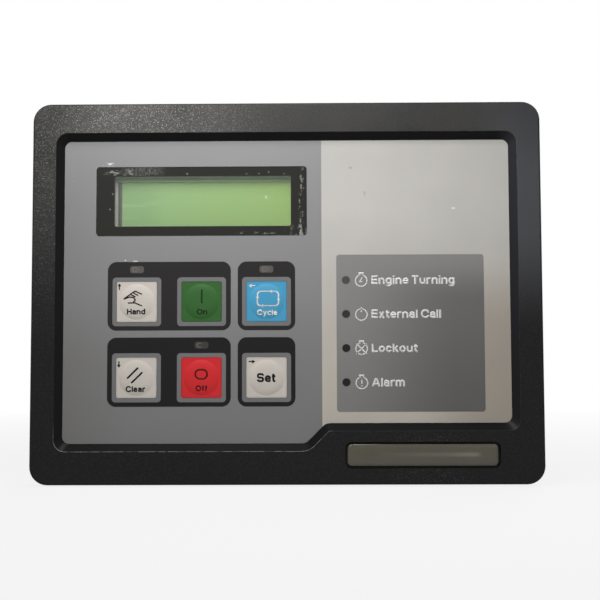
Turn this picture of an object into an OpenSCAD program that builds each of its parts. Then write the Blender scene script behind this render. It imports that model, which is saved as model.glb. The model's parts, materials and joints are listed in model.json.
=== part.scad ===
// Generator-set controller for mounting in a panel door.
// A moulded bezel holds a recessed membrane keypad, a character display and indicator
// lamps. A stepped cover behind the panel plane carries the wiring headers.
// Millimetres. The part stands upright: X right, Z up, and its face looks along -Y.
// Modules draw in the face frame (x right, y up, z towards the operator, z = 0 on the
// panel), and upright() turns them into place.

/* [Overlay] */
// Width of the graphic overlay
overlay_w = 175; // [170:1:190]
// Height of the graphic overlay
overlay_h = 119; // [116:1:130]
// Corner radius of the overlay
overlay_r = 2.8; // [2:0.1:4]
// Thickness of the printed film
film_t = 0.3; // [0.25:0.05:0.4]
// Thickness of the switch circuit layer
circuit_t = 0.3; // [0.2:0.05:0.4]
// Height of the step along the lower right edge
step_h = 7.8; // [6:0.1:9]
// Start of the step's slope on the lower edge, from the overlay's centre
step_x = 7.5; // [0:0.5:12]
// Rounding at both ends of the slope
step_r = 4.2; // [4:0.1:6]

/* [Bezel] */
// Height of the rim above the panel
bezel_d = 14; // [13.5:0.1:17]
// Corner radius of the bezel
bezel_r = 7.5; // [6:0.1:9]
// Rounding of the outer front edge
edge_r = 0.9; // [0.6:0.1:2]
// Draft of the bezel's sides over their height
bezel_draft = 0.5; // [0:0.1:1]
// Flat rim to the left and right of the pocket
rim_side = 9.6; // [9:0.1:14]
// Flat rim above the pocket
rim_top = 12; // [11:0.1:16]
// Flat rim below the pocket
rim_bottom = 13.2; // [12:0.1:18]
// Width of the pocket's sloping wall
pocket_run = 2.9; // [2:0.1:3.2]
// Corner radius of the pocket at its lip
rim_r = 4.6; // [4:0.1:6]
// Depth of the overlay's face below the rim
face_recess = 2.9; // [2.4:0.1:3.4]
// Chamfer on the lip of the pocket
lip = 0.3; // [0.1:0.05:0.5]
// Thickness of the skirt
skirt_t = 2.6; // [2:0.1:3]
// Thickness of the pocket floor
floor_t = 2.4; // [2:0.1:3]

/* [Keys] */
// Side of a key's square pad
key_w = 15.7; // [15:0.1:18]
// Corner radius of a key's pad
key_pad_r = 0.8; // [0.4:0.1:2]
// Diameter of a key's embossed dome
key_d = 14.4; // [12:0.1:14.8]
// Rise of the dome above the film
key_rise = 0.6; // [0.4:0.05:0.8]
// Travel of a key
key_travel = 0.5; // [0.3:0.05:0.6]
// Gap between a key and the film around it
key_gap = 0.1; // [0.05:0.05:0.2]
// Distance between key columns
key_pitch_x = 25.4; // [22:0.1:27]
// Distance between key rows
key_pitch_y = 29.7; // [27:0.1:31]
// First key column from the overlay's left edge
key_in = 28.9; // [26:0.1:32]
// Upper key row below the overlay's top edge
key_down = 63.6; // [62:0.1:65]
// Diameter of the metal snap dome under a key
snap_d = 12; // [9:0.5:12]
// Height of the snap dome
snap_h = 0.9; // [0.6:0.05:0.95]
// Sheet thickness of the snap dome
snap_t = 0.2; // [0.15:0.05:0.3]
// Diameter of the pusher under a dome
pusher_d = 3; // [2:0.5:4]

/* [Indicators] */
// Width of a key indicator
bar_led_w = 5; // [4:0.1:6]
// Height of a key indicator
bar_led_h = 2.2; // [1.8:0.1:3]
// Key indicator above its key
bar_led_rise = 12.65; // [12:0.05:13.5]
// Diameter of a status indicator
led_d = 3; // [2.5:0.1:4]
// Status column from the overlay's right edge
led_in = 64.2; // [60:0.1:66]
// Top status indicator below the overlay's top edge
led_down = 55.4; // [53:0.1:58]
// Distance between status indicators
led_pitch = 13.3; // [11:0.1:14]
// Length of an indicator's body
led_len = 5.3; // [4:0.1:6]
// Radial gap around an indicator
led_gap = 0.2; // [0.1:0.05:0.4]
// Gap between an indicator and the film
led_air = 0.3; // [0.2:0.05:0.6]

/* [Display] */
// Width of the display lens
lens_w = 82.7; // [80:0.1:86]
// Height of the display lens
lens_h = 27.2; // [26:0.1:29]
// Corner radius of the lens
lens_r = 1.3; // [0.8:0.1:2]
// Lens from the overlay's left edge
lens_in = 12.75; // [11:0.05:14]
// Lens below the overlay's top edge
lens_down = 10.4; // [8:0.1:12]
// Gap around the lens
lens_gap = 0.15; // [0.1:0.05:0.3]
// Width of the display opening in the floor
window_w = 70.4; // [68:0.1:74]
// Height of the display opening in the floor
window_h = 20.7; // [18:0.1:22]
// Display opening to the right of the lens's centre
window_dx = 0.5; // [0:0.1:1]
// Display module to the right of the opening's centre
lcd_dx = 1.4; // [0:0.1:2]
// Display module below the opening's centre
lcd_dy = 1.4; // [0:0.1:2]
// Width of the metal frame
lcd_w = 80; // [79:0.1:84]
// Height of the metal frame
lcd_h = 27; // [26:0.1:29]
// Width of the frame's opening
view_w = 73.2; // [70:0.1:75]
// Height of the frame's opening
view_h = 19.6; // [17:0.1:21]
// Sheet thickness of the frame
lcd_sheet = 0.5; // [0.4:0.1:0.8]
// Thickness of the display glass
glass_t = 2; // [1.6:0.1:2.4]
// Thickness of the backlight
light_t = 2.6; // [2:0.1:3]
// Width of the backlight's lamp end beside the glass
lamp_end = 4.3; // [3:0.1:5]
// Display board beyond the frame at the sides
lcd_board_side = 3; // [2.5:0.1:3.5]
// Display board beyond the frame above and below
lcd_board_rim = 4.5; // [4:0.1:5]
// Gap between the display frame and the floor
lcd_air = 0.3; // [0.2:0.05:0.8]

/* [Badge] */
// Width of the badge
badge_w = 58.4; // [50:0.1:66]
// Height of the badge
badge_h = 8.8; // [7:0.1:9.5]
// Corner radius of the badge
badge_r = 1.8; // [1:0.1:3]
// Thickness at the badge's edge
badge_edge = 0.7; // [0.5:0.1:1]
// Crown of the badge above its edge
badge_crown = 0.6; // [0.3:0.1:0.8]
// Depth of the badge's recess
badge_recess = 1.5; // [1.2:0.1:2]
// Gap around the badge
badge_gap = 0.7; // [0.4:0.1:1]
// Badge's centre from the right edge of the bezel
badge_in = 47.5; // [40:0.5:60]
// Badge's centre above the lower edge of the bezel
badge_up = 11.8; // [9:0.1:12]

/* [Rear cover] */
// Width of the flange beside the box
flange_w = 12; // [11.5:0.1:16]
// Thickness of the flange
flange_t = 3; // [2.6:0.1:3.6]
// Depth of the connector shelves behind the panel
shelf_d = 16; // [15:0.5:18]
// Full depth behind the panel
cover_d = 38; // [34:0.5:50]
// Height of the raised middle
hump_h = 62; // [60:1:64]
// Wall of the cover
cover_t = 2.2; // [1.8:0.1:2.8]
// Outer corner radius of the box
cover_r = 5; // [4:0.1:7]
// Gap between the flange and the skirt
cover_gap = 0.3; // [0.2:0.05:0.5]
// Number of vent slots on each side
vents = 12; // [6:1:14]
// Distance between vent slots
vent_pitch = 11; // [8:0.5:11.5]
// Width of a vent slot
vent_w = 2.4; // [1.5:0.1:3.5]
// Length of a vent slot
vent_l = 13; // [8:0.5:16]
// Width of the panel gasket
gasket_w = 3; // [2:0.1:3.2]
// Thickness of the panel gasket
gasket_t = 1.5; // [1:0.1:2]
// Land between the box and the gasket
gasket_land = 0.8; // [0.6:0.1:1]

/* [Fixings] */
// Insert centres from the bezel's edges
insert_in = 6.8; // [6.5:0.1:7]
// Outside diameter of a threaded insert
insert_d = 5.2; // [4.8:0.1:5.6]
// Bore of a threaded insert
insert_bore = 3.3; // [2.5:0.1:3.5]
// Length of a threaded insert
insert_l = 8; // [6:0.5:8.5]
// Diameter of the insert bosses
insert_boss_d = 8.8; // [8.6:0.1:9.4]
// Shank diameter of the screws
screw_d = 2.9; // [2.5:0.1:3.2]
// Head diameter of the screws
head_d = 5.4; // [5:0.1:6]
// Head height of the screws
head_h = 2; // [1.6:0.1:2.4]
// Diameter of the pillars and bosses that take the screws
pillar_d = 9; // [8.6:0.1:10]
// Cover screws from the outside of the box
pillar_in = 6; // [5.5:0.1:6.5]
// Reach of a cover screw into the bezel
screw_bite = 5; // [4:0.1:5.5]

/* [Boards] */
// Depth of the main board behind the panel
board_set = 6; // [5:0.1:7]
// Thickness of the boards
board_t = 1.6; // [1.2:0.1:2]
// Gap between the main board and the box walls
board_gap = 1.8; // [1:0.1:3]
// Height of the board posts above and below the middle
post_y = 36; // [34:0.5:38]
// Diameter of the board posts
post_d = 7; // [6:0.1:8]
// Board posts from the board's side edges
post_in = 4; // [3.6:0.1:4.2]
// Width of the keypad's tail
tail_w = 16; // [12:0.5:20]
// Keypad tail from the overlay's right edge
tail_in = 35.5; // [30:0.5:42]
// Keypad tail above the overlay's lower edge
tail_up = 29.5; // [24:0.5:34]

/* [Headers] */
// Ways of the input header
input_ways = 12; // [8:1:12]
// Ways of the output header
output_ways = 8; // [4:1:9]
// Pitch of the input and output headers
plug_pitch = 5.08; // [5:0.01:5.1]
// Ways of the sensing header
sensing_ways = 4; // [3:1:5]
// Pitch of the sensing header
sensing_pitch = 7.62; // [7.5:0.01:7.7]
// Ways in each row of the harness header
harness_ways = 8; // [6:1:10]
// Pitch of the harness header
harness_pitch = 4.2; // [4:0.1:4.4]
// Depth across the input and output headers
plug_w = 8.6; // [8:0.1:10]
// Depth across the sensing header
sensing_w = 12; // [10:0.1:13]
// Depth across the harness header
harness_w = 13; // [12:0.1:14]
// Height of the headers above the board
header_h = 12; // [11:0.1:13]
// Wall of the headers
header_t = 0.9; // [0.8:0.1:1.1]
// Floor of the headers
header_floor = 2; // [1.6:0.1:2.4]
// Headers from the side edges of the main board
header_in = 18; // [16:0.5:20]
// Gap between a header and its opening in the cover
header_gap = 0.5; // [0.3:0.1:0.8]
// Width of a header pin
pin_w = 1; // [0.8:0.1:1.2]
// Height of a pin above the header's floor
pin_h = 4.8; // [4:0.1:5]
// Length of a pin past the board
pin_tail = 1.2; // [0.8:0.1:1.6]

/* [Hidden] */

$fn = 48;
eps = 0.01;          // overlap of a cutter past a face
corner_n = 8;        // facets of a rounded corner
edge_n = 6;          // facets of the bezel's front edge
cap_n = 8;           // bands of a domed cap
fit = 0.02;          // radial gap of pressed and screwed fits
clear = 0.3;         // gap between pieces that only pass each other
key_rest = 0.05;     // gap between a pusher and its snap dome
cross_w = 0.8;       // width of a screw's cross recess
spacer_t = key_travel + clear; // spacer layer under the film, as deep as a key travels

// Levels along the face frame's z, from the rim down to the cover's back
z_rim = bezel_d;
z_film = z_rim - face_recess;
z_spacer = z_film - film_t;
z_circuit = z_spacer - spacer_t;
z_floor = z_circuit - circuit_t;
z_floor_back = z_floor - floor_t;
z_channel = z_rim - badge_recess - floor_t;
z_lcd = z_floor_back - lcd_air;
z_glass = z_lcd - lcd_sheet;
z_light = z_glass - glass_t;
z_lcd_board = z_light - light_t;
z_lcd_back = z_lcd_board - board_t;
z_board = -board_set;
z_board_back = z_board - board_t;
z_led = z_spacer - led_air;
z_led_base = z_led - led_len;

// Outlines
bezel_w = overlay_w + 2 * (pocket_run + rim_side);
bezel_h = overlay_h + 2 * pocket_run + rim_top + rim_bottom;
face_y = (rim_bottom - rim_top) / 2;
box_w = bezel_w - 2 * flange_w;
box_h = bezel_h - 2 * flange_w;
board_w = box_w - 2 * (cover_t + board_gap);
board_h = box_h - 2 * (cover_t + board_gap);
gasket_r = cover_r + gasket_land;
insert_x = bezel_w / 2 - insert_in;
insert_y = bezel_h / 2 - insert_in;
pillar_x = box_w / 2 - pillar_in;
pillar_y = box_h / 2 - pillar_in;
post_x = board_w / 2 - post_in;
shelf_y = (hump_h + box_h) / 4;
badge_pos = [bezel_w / 2 - badge_in, badge_up - bezel_h / 2];

// Keys, indicators and the keypad's tail, from the overlay's centre
key_r = key_d / 2;
key_names = ["manual", "start", "auto", "reset", "stop", "ok"];
lit_keys = [0, 2, 4];
function key_at(i) = [key_in - overlay_w / 2, overlay_h / 2 - key_down]
    + [i % 3 * key_pitch_x, -floor(i / 3) * key_pitch_y];
function bar_led_at(i) = key_at(i) + [0, bar_led_rise];
function led_at(i) = [overlay_w / 2 - led_in, overlay_h / 2 - led_down - i * led_pitch];
led_count = 4;
led_leg = 0.5;
led_leg_pitch = 2.54;
led_flange = 0.4;
led_flange_h = 1;
led_tip = 0.93 * led_d / 2;
tail_x = overlay_w / 2 - tail_in;
tail_y = tail_up - overlay_h / 2;

// Display module, from the overlay's centre
lens_x = lens_in + (lens_w - overlay_w) / 2;
lens_y = (overlay_h - lens_h) / 2 - lens_down;
window_x = lens_x + window_dx;
lcd_pos = [window_x + lcd_dx, lens_y - lcd_dy];
lcd_board_w = lcd_w + 2 * lcd_board_side;
lcd_board_h = lcd_h + 2 * lcd_board_rim;
standoff_d = 5;
peg_d = 2.6;
standoff_in = lcd_board_rim - peg_d / 2 - clear;
peg_out = 2;
peg_tip = 0.4;
lcd_ways = 16;
lcd_pitch = 2.54;
lcd_pin = 0.64;
lcd_pin_gap = 0.7;
lcd_pin_y = -(lcd_h + lcd_pin) / 2 - lcd_pin_gap;

// Component sizes on the main board: [x, y, height], and places from its centre.
// Power parts keep to the board's right edge, capacitors to its left edge.
chip = [14, 14, 1.4];
chip_at = [-4, -2];
relay = [15.5, 19, 15];
relay_pitch = 18;
relays_n = 3;
row_in = 12;
row_x = board_w / 2 - row_in - (relays_n - 1) * relay_pitch;
relay_at = [row_x, -13];
sensor = [16, 14, 16];
sensor_at = [row_x, 14];
sensor_core_d = 5;
cap_d = 13;
cap_h = 21;
cap_edge = 0.5;
cap_groove_at = 2.5;
cap_in = 10;
cap_at = [cap_in - board_w / 2, -4];
cap_pitch = 16;
caps_n = 3;
coil_d = 12.5;
coil_h = 8;
coil_flange = 1.2;
coil_waist = 1;
coil_at = [-22, -16];
socket_side = 3;
tail_socket = [tail_w + 2 * socket_side, 6, 5];
tail_t = circuit_t;
tail_seat = 3;
slot_gap = 0.8;

// Header lengths, and places from the board's sides
harness_latch = 1;
input_l = input_ways * plug_pitch + 2 * header_t;
output_l = output_ways * plug_pitch + 2 * header_t;
sensing_l = sensing_ways * sensing_pitch + 2 * header_t;
harness_l = harness_ways * harness_pitch + 2 * header_t + harness_latch;
header_x = board_w / 2 - header_in;
input_at = [input_l / 2 - header_x, -shelf_y];
output_at = [header_x - output_l / 2, -shelf_y];
harness_at = [harness_l / 2 - header_x, shelf_y];
sensing_at = [header_x - sensing_l / 2, shelf_y];

// Points of a corner at p, between a and b, rounded by r
function unit(v) = v / norm(v);
function corner(a, p, b, r) =
    let (
        u = unit(a - p),
        v = unit(b - p),
        half = acos(u * v) / 2,
        c = p + unit(u + v) * r / sin(half),
        start = p + u * r / tan(half) - c,
        sweep = sign(cross(p - a, b - p)) * (180 - 2 * half),
        from = atan2(start.y, start.x)
    )
    [for (i = [0:corner_n]) c + r * [cos(from + sweep * i / corner_n), sin(from + sweep * i / corner_n)]];
function rounded(pts, radii) =
    let (n = len(pts))
    [for (i = [0:n - 1]) each corner(pts[(i + n - 1) % n], pts[i], pts[(i + 1) % n], radii[i])];

// Outline of the stepped face, moved outward by g
function face_outline(g) =
    let (
        x = overlay_w / 2 + g,
        y = overlay_h / 2 + g,
        slope = step_x + g * (sqrt(2) - 1),
        r = overlay_r + (rim_r - overlay_r) * g / pocket_run,
        inner = max(step_r - g, 0.4)
    )
    rounded(
        [[-x, -y], [slope, -y], [slope + step_h, step_h - y], [x, step_h - y], [x, y], [-x, y]],
        [r, step_r + g, inner, r, r, r]
    );
function rect_outline(w, h, r) =
    rounded([[-w, -h] / 2, [w, -h] / 2, [w, h] / 2, [-w, h] / 2], [r, r, r, r]);

// Points of a domed cap of radius r and rise h over z, from x0 outwards to x1
function cap_z(x, r, h) =
    let (s = (r * r + h * h) / (2 * h))
    sqrt(s * s - x * x) - s + h;
function cap(x0, x1, r, h, z) = [for (i = [0:cap_n])
    let (x = x0 + (x1 - x0) * i / cap_n)
    [x, z + cap_z(x, r, h)]];

// Points of a key's crown, flat in the middle and rounded over at its rim, from x1 inwards
function crown(x1, z) = [for (i = [cap_n:-1:0])
    let (x = x1 * sqrt(i / cap_n))
    [x, z + key_rise * (1 - pow(x / key_r, 4))]];

module upright() {
    rotate([90, 0, 0]) children();
}

module on_face() {
    translate([0, face_y, 0]) children();
}

// Stands children on the rear side of the main board
module on_board(at) {
    translate([at.x, at.y, z_board_back]) mirror([0, 0, 1]) children();
}

module rounded_rect(w, h, r) {
    square([w - 2 * r, h], center = true);
    square([w, h - 2 * r], center = true);
    for (x = [-1, 1], y = [-1, 1])
        translate([x * (w / 2 - r), y * (h / 2 - r)]) circle(r);
}

// Rounded plate between two levels
module slab(w, h, r, z0, z1) {
    translate([0, 0, z0]) linear_extrude(z1 - z0) rounded_rect(w, h, r);
}

module rod(d, z0, z1) {
    translate([0, 0, z0]) cylinder(d = d, h = z1 - z0);
}

module block(size) {
    translate([0, 0, size.z / 2]) cube(size, center = true);
}

// Solid through a stack of outlines with equal point counts
module loft(rings, levels) {
    n = len(rings[0]);
    m = len(rings);
    polyhedron(
        points = [for (i = [0:m - 1], p = rings[i]) [p.x, p.y, levels[i]]],
        faces = concat(
            [[for (j = [0:n - 1]) j]],
            [for (i = [0:m - 2], j = [0:n - 1])
                [i * n + j, (i + 1) * n + j, (i + 1) * n + (j + 1) % n, i * n + (j + 1) % n]],
            [[for (j = [n - 1:-1:0]) (m - 1) * n + j]]
        )
    );
}

module four(x, y) {
    for (i = [-1, 1], j = [-1, 1])
        translate([i * x, j * y, 0]) children();
}

// Bezel: outer shell with drafted sides and a rounded front edge
module bezel_shell() {
    turns = [for (i = [0:edge_n]) 90 * i / edge_n];
    side = bezel_draft * (z_rim - edge_r) / z_rim;
    insets = concat([0], [for (a = turns) side + edge_r * (1 - cos(a))]);
    levels = concat([0], [for (a = turns) z_rim - edge_r + edge_r * sin(a)]);
    loft([for (s = insets) rect_outline(bezel_w - 2 * s, bezel_h - 2 * s, bezel_r - s)], levels);
}

// Pocket for the keypad: straight round the layers, then sloping out to a chamfered lip
module pocket() {
    grow = [0, 0, pocket_run - lip, pocket_run, pocket_run];
    levels = [z_floor, z_film, z_rim - lip, z_rim, z_rim + 1];
    loft([for (g = grow) face_outline(g)], levels);
}

// Hollow behind the face: full depth under the floor, deeper in a channel under the rim
module bezel_hollow() {
    inner_w = bezel_w - 2 * skirt_t;
    inner_h = bezel_h - 2 * skirt_t;
    inner_r = bezel_r - skirt_t;
    wall = pocket_run + floor_t / 2;
    slab(inner_w, inner_h, inner_r, -1, z_floor_back);
    difference() {
        slab(inner_w, inner_h, inner_r, z_floor_back - eps, z_channel);
        on_face() slab(overlay_w + 2 * wall, overlay_h + 2 * wall, overlay_r, 0, z_rim);
    }
}

module display_opening() {
    on_face()
        translate([window_x, lens_y, 0])
            slab(window_w, window_h, lens_r, z_floor_back - 1, z_floor + 1);
}

module indicator_openings(z0, z1) {
    on_face() {
        for (i = lit_keys)
            translate(bar_led_at(i))
                slab(bar_led_w + 2 * led_gap, bar_led_h + 2 * led_gap, led_gap, z0, z1);
        for (i = [0:led_count - 1])
            translate(led_at(i)) rod(led_d + 2 * led_gap, z0, z1);
    }
}

module tail_slot() {
    on_face()
        translate([tail_x, tail_y + tail_t / 2, (z_floor + z_floor_back) / 2])
            cube([tail_w + 2 * slot_gap, tail_t + 2 * slot_gap, floor_t + 2], center = true);
}

module front_housing() color("#2c2c2e") upright() {
    difference() {
        union() {
            difference() {
                bezel_shell();
                on_face() pocket();
                bezel_hollow();
            }
            four(insert_x, insert_y) rod(insert_boss_d, 0, z_channel + floor_t / 2);
            four(pillar_x, pillar_y) rod(pillar_d, flange_t, z_floor_back + floor_t / 2);
            four(post_x, post_y) rod(post_d, z_board, z_floor_back + floor_t / 2);
        }
        translate(badge_pos)
            slab(
                badge_w + 2 * badge_gap, badge_h + 2 * badge_gap, badge_r + badge_gap,
                z_rim - badge_recess, z_rim + 1
            );
        display_opening();
        indicator_openings(z_floor_back - 1, z_floor + 1);
        tail_slot();
        four(insert_x, insert_y) rod(insert_d + 2 * fit, -1, insert_l + clear);
        four(pillar_x, pillar_y) rod(screw_d + 2 * fit, 0, flange_t + screw_bite + clear);
        four(post_x, post_y) rod(screw_d + 2 * fit, z_board - 1, z_floor_back - 1);
    }
}

module face_sheet(inset) {
    polygon(face_outline(-inset));
}

module lens_cut() {
    translate([lens_x, lens_y]) rounded_rect(lens_w + 2 * lens_gap, lens_h + 2 * lens_gap, lens_r);
}

module graphic_overlay() color("#8f8f8f") upright() on_face()
    translate([0, 0, z_spacer])
        linear_extrude(film_t)
            difference() {
                face_sheet(clear / 2);
                lens_cut();
                for (i = [0:5]) translate(key_at(i)) key_square(key_gap);
            }

module dome_spacer() color("#e6e2d6") upright() on_face()
    translate([0, 0, z_circuit])
        linear_extrude(spacer_t)
            difference() {
                face_sheet(clear);
                lens_cut();
                for (i = [0:5]) translate(key_at(i)) key_square(clear);
                for (i = lit_keys)
                    translate(bar_led_at(i))
                        square([bar_led_w + 2 * led_gap, bar_led_h + 2 * led_gap], center = true);
                for (i = [0:led_count - 1]) translate(led_at(i)) circle(d = led_d + 2 * led_gap);
            }

// Printed circuit layer. Its tail is cut from the sheet and folded back through the floor.
module keypad_circuit() color("#c8c4b4") upright() on_face() {
    tail_l = z_circuit - z_board - tail_socket.z + tail_seat;
    translate([0, 0, z_floor])
        linear_extrude(circuit_t)
            difference() {
                face_sheet(clear);
                lens_cut();
                for (i = lit_keys)
                    translate(bar_led_at(i))
                        square([bar_led_w + 2 * led_gap, bar_led_h + 2 * led_gap], center = true);
                for (i = [0:led_count - 1]) translate(led_at(i)) circle(d = led_d + 2 * led_gap);
                translate([tail_x, tail_y + tail_t + tail_l / 2]) square([tail_w, tail_l], center = true);
            }
    translate([tail_x - tail_w / 2, tail_y, z_circuit - tail_l]) cube([tail_w, tail_t, tail_l]);
}

module key_square(grow) {
    rounded_rect(key_w + 2 * grow, key_w + 2 * grow, key_pad_r + grow);
}

// Square pad of one key: film raised to a crown, with the pusher that meets the snap dome
module key_pad(i) {
    ring_r = key_r - 2 * film_t;
    upright() on_face() translate(key_at(i)) {
        difference() {
            union() {
                translate([0, 0, z_spacer]) linear_extrude(film_t) key_square(0);
                rotate_extrude()
                    polygon(concat([[0, z_spacer], [key_r, z_spacer]], crown(key_r, z_film)));
            }
            rotate_extrude()
                polygon(concat([[0, z_floor], [ring_r, z_floor]], crown(ring_r, z_spacer)));
        }
        rod(pusher_d, z_circuit + snap_h + key_rest, z_spacer + key_rise + film_t / 2);
    }
}

module snap_dome(i) {
    r = snap_d / 2;
    inner_r = r - 3 * snap_t;
    profile = concat(
        cap(0, inner_r, inner_r, snap_h - snap_t, z_circuit),
        cap(r, 0, r, snap_h, z_circuit)
    );
    color("silver") upright() on_face() translate(key_at(i)) rotate_extrude() polygon(profile);
}

module manual_key() color("#d2cbc3") key_pad(0);
module start_key() color("#325b2f") key_pad(1);
module auto_key() color("#4796ba") key_pad(2);
module reset_key() color("#d2cbc3") key_pad(3);
module stop_key() color("#c33235") key_pad(4);
module ok_key() color("#a29892") key_pad(5);

module display_lens() color("#343432") upright() on_face()
    translate([lens_x, lens_y, 0]) slab(lens_w, lens_h, lens_r, z_floor, z_film);

module at_lcd() {
    upright() on_face() translate(lcd_pos) children();
}

// Folded metal frame over the display glass
module lcd_frame() color("#1c1c1c") at_lcd()
    difference() {
        slab(lcd_w, lcd_h, 2 * lcd_sheet, z_lcd_board, z_lcd);
        slab(lcd_w - 2 * lcd_sheet, lcd_h - 2 * lcd_sheet, lcd_sheet, z_lcd_board - 1, z_glass);
        slab(view_w, view_h, lcd_sheet, z_glass - 1, z_lcd + 1);
    }

// The glass and its backlight lie inside the frame
lcd_inner = [lcd_w - 2 * lcd_sheet - 2 * lens_gap, lcd_h - 2 * lcd_sheet - 2 * lens_gap];

module lcd_glass() color("#95b37c") at_lcd()
    translate([lamp_end - lcd_inner.x / 2 + lens_gap, -lcd_inner.y / 2, z_light])
        cube([lcd_inner.x - lamp_end - lens_gap, lcd_inner.y, glass_t]);

module lcd_backlight() color("#dedfda") at_lcd() {
    translate([-lcd_inner.x / 2, -lcd_inner.y / 2, z_lcd_board]) {
        cube([lcd_inner.x, lcd_inner.y, light_t]);
        cube([lamp_end, lcd_inner.y, light_t + glass_t]);
    }
}

module lcd_pin_row() {
    for (i = [0:lcd_ways - 1])
        translate([(i - (lcd_ways - 1) / 2) * lcd_pitch, lcd_pin_y, 0]) children();
}

module at_standoffs() {
    four(lcd_board_w / 2 - standoff_in, lcd_board_h / 2 - standoff_in) children();
}

module lcd_board() color("#1f5a34") at_lcd()
    translate([0, 0, z_lcd_back])
        linear_extrude(board_t)
            difference() {
                square([lcd_board_w, lcd_board_h], center = true);
                at_standoffs() circle(d = peg_d + clear);
                lcd_pin_row() square(lcd_pin + clear, center = true);
            }

// Snap-in spacers between the display board and the main board
module lcd_standoffs() color("#e4e2da") at_lcd()
    at_standoffs()
        rotate_extrude() polygon([
            [0, z_board_back - peg_out], [peg_d / 2, z_board_back - peg_out],
            [peg_d / 2, z_board], [standoff_d / 2, z_board],
            [standoff_d / 2, z_lcd_back], [peg_d / 2, z_lcd_back],
            [peg_d / 2, z_lcd_board + peg_out - peg_tip], [0, z_lcd_board + peg_out]
        ]);

module lcd_header() color("#202020") at_lcd()
    translate([0, 0, z_lcd_back - lcd_pitch])
        linear_extrude(lcd_pitch)
            difference() {
                translate([0, lcd_pin_y]) square([lcd_ways * lcd_pitch, lcd_pitch], center = true);
                lcd_pin_row() square(lcd_pin, center = true);
            }

module lcd_pins() color("gold") at_lcd()
    lcd_pin_row()
        translate([-lcd_pin / 2, -lcd_pin / 2, z_board_back - pin_tail])
            cube([lcd_pin, lcd_pin, z_lcd_board + pin_tail - z_board_back + pin_tail]);

// Two wires from an indicator down to the board
module led_legs() {
    for (side = [-1, 1])
        translate([(side * led_leg_pitch - led_leg) / 2, -led_leg / 2, z_board_back - pin_tail])
            cube([led_leg, led_leg, z_led_base - z_board_back + pin_tail + eps]);
}

module led_leg_holes(grow) {
    for (side = [-1, 1])
        translate([side * led_leg_pitch / 2, 0]) square(led_leg + grow, center = true);
}

module key_leds() color("#6b645c") upright() on_face()
    for (i = lit_keys)
        translate(bar_led_at(i)) {
            slab(bar_led_w, bar_led_h, led_gap, z_led_base, z_led);
            led_legs();
        }

module key_led_spacers() color("#d9d6cc") upright() on_face()
    for (i = lit_keys)
        translate(bar_led_at(i))
            translate([0, 0, z_board])
                linear_extrude(z_led_base - z_board)
                    difference() {
                        square([bar_led_w, bar_led_h + 2 * led_gap], center = true);
                        led_leg_holes(led_gap);
                    }

// Round indicator: flange, barrel and domed end
module status_leds() color("#4a4a48") upright() on_face() {
    flange_r = led_d / 2 + led_flange;
    for (i = [0:led_count - 1])
        translate(led_at(i)) {
            rotate_extrude() polygon(concat(
                [[0, z_led_base], [flange_r, z_led_base], [flange_r, z_led_base + led_flange_h],
                    [led_d / 2, z_led_base + led_flange_h]],
                cap(led_d / 2, 0, led_d / 2, led_tip, z_led - led_tip)
            ));
            led_legs();
        }
}

module status_led_spacers() color("#d9d6cc") upright() on_face()
    for (i = [0:led_count - 1])
        translate(led_at(i))
            translate([0, 0, z_board])
                linear_extrude(z_led_base - z_board)
                    difference() {
                        circle(d = led_d + 4 * led_flange);
                        led_leg_holes(led_gap);
                    }

// Badge with a crowned face, bare
module name_badge() color("#555245") upright() translate(badge_pos) {
    z0 = z_rim - badge_recess;
    run = badge_r - fit;
    inset = [for (i = [0:cap_n]) run * i / cap_n];
    level = [for (i = [0:cap_n]) let (t = i / cap_n) z0 + badge_edge + badge_crown * sqrt(1 - (1 - t) * (1 - t))];
    loft(
        concat(
            [rect_outline(badge_w, badge_h, badge_r)],
            [for (s = inset) rect_outline(badge_w - 2 * s, badge_h - 2 * s, badge_r - s)]
        ),
        concat([z0], level)
    );
}

// Main board, notched round the cover's pillars
module main_board() color("#1f5a34") upright() {
    notch = pillar_d / 2 + clear;
    translate([0, 0, z_board_back])
        linear_extrude(board_t)
            difference() {
                square([board_w, board_h], center = true);
                four(pillar_x, pillar_y) circle(notch);
                four(pillar_x + notch, pillar_y) square(2 * notch, center = true);
                four(pillar_x, pillar_y + notch) square(2 * notch, center = true);
                four(post_x, post_y) circle(d = screw_d + clear);
                translate([0, face_y] + lcd_pos) {
                    at_standoffs() circle(d = peg_d + clear);
                    lcd_pin_row() square(lcd_pin + clear, center = true);
                }
                translate([0, face_y]) {
                    for (i = lit_keys) translate(bar_led_at(i)) led_leg_holes(clear);
                    for (i = [0:led_count - 1]) translate(led_at(i)) led_leg_holes(clear);
                }
                translate(input_at) pin_places(input_ways, plug_pitch, 1) pin_hole();
                translate(output_at) pin_places(output_ways, plug_pitch, 1) pin_hole();
                translate(sensing_at) pin_places(sensing_ways, sensing_pitch, 1) pin_hole();
                translate(harness_at) pin_places(harness_ways, harness_pitch, 2) pin_hole();
            }
}

module pin_hole() {
    square(pin_w + clear, center = true);
}

// Pan-head screw along z: the head lies below z = 0 and has a cross recess
module screw(len) {
    difference() {
        union() {
            rod(screw_d, -eps, len);
            rod(head_d, -head_h, 0);
        }
        for (a = [0, 90])
            rotate(a) translate([0, 0, -head_h]) cube([head_d * 0.6, cross_w, head_h], center = true);
    }
}

module board_screws() color("silver") upright()
    four(post_x, post_y) translate([0, 0, z_board_back]) screw(board_t + screw_bite);

module cover_screws() color("silver") upright()
    four(pillar_x, pillar_y) screw(flange_t + screw_bite);

module tail_connector() color("#e8e4d8") upright() on_face()
    translate([tail_x, tail_y + tail_t / 2, z_board])
        difference() {
            block(tail_socket);
            translate([0, 0, tail_socket.z])
                cube([tail_w + clear, tail_t + clear, 2 * tail_seat + clear], center = true);
        }

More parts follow.
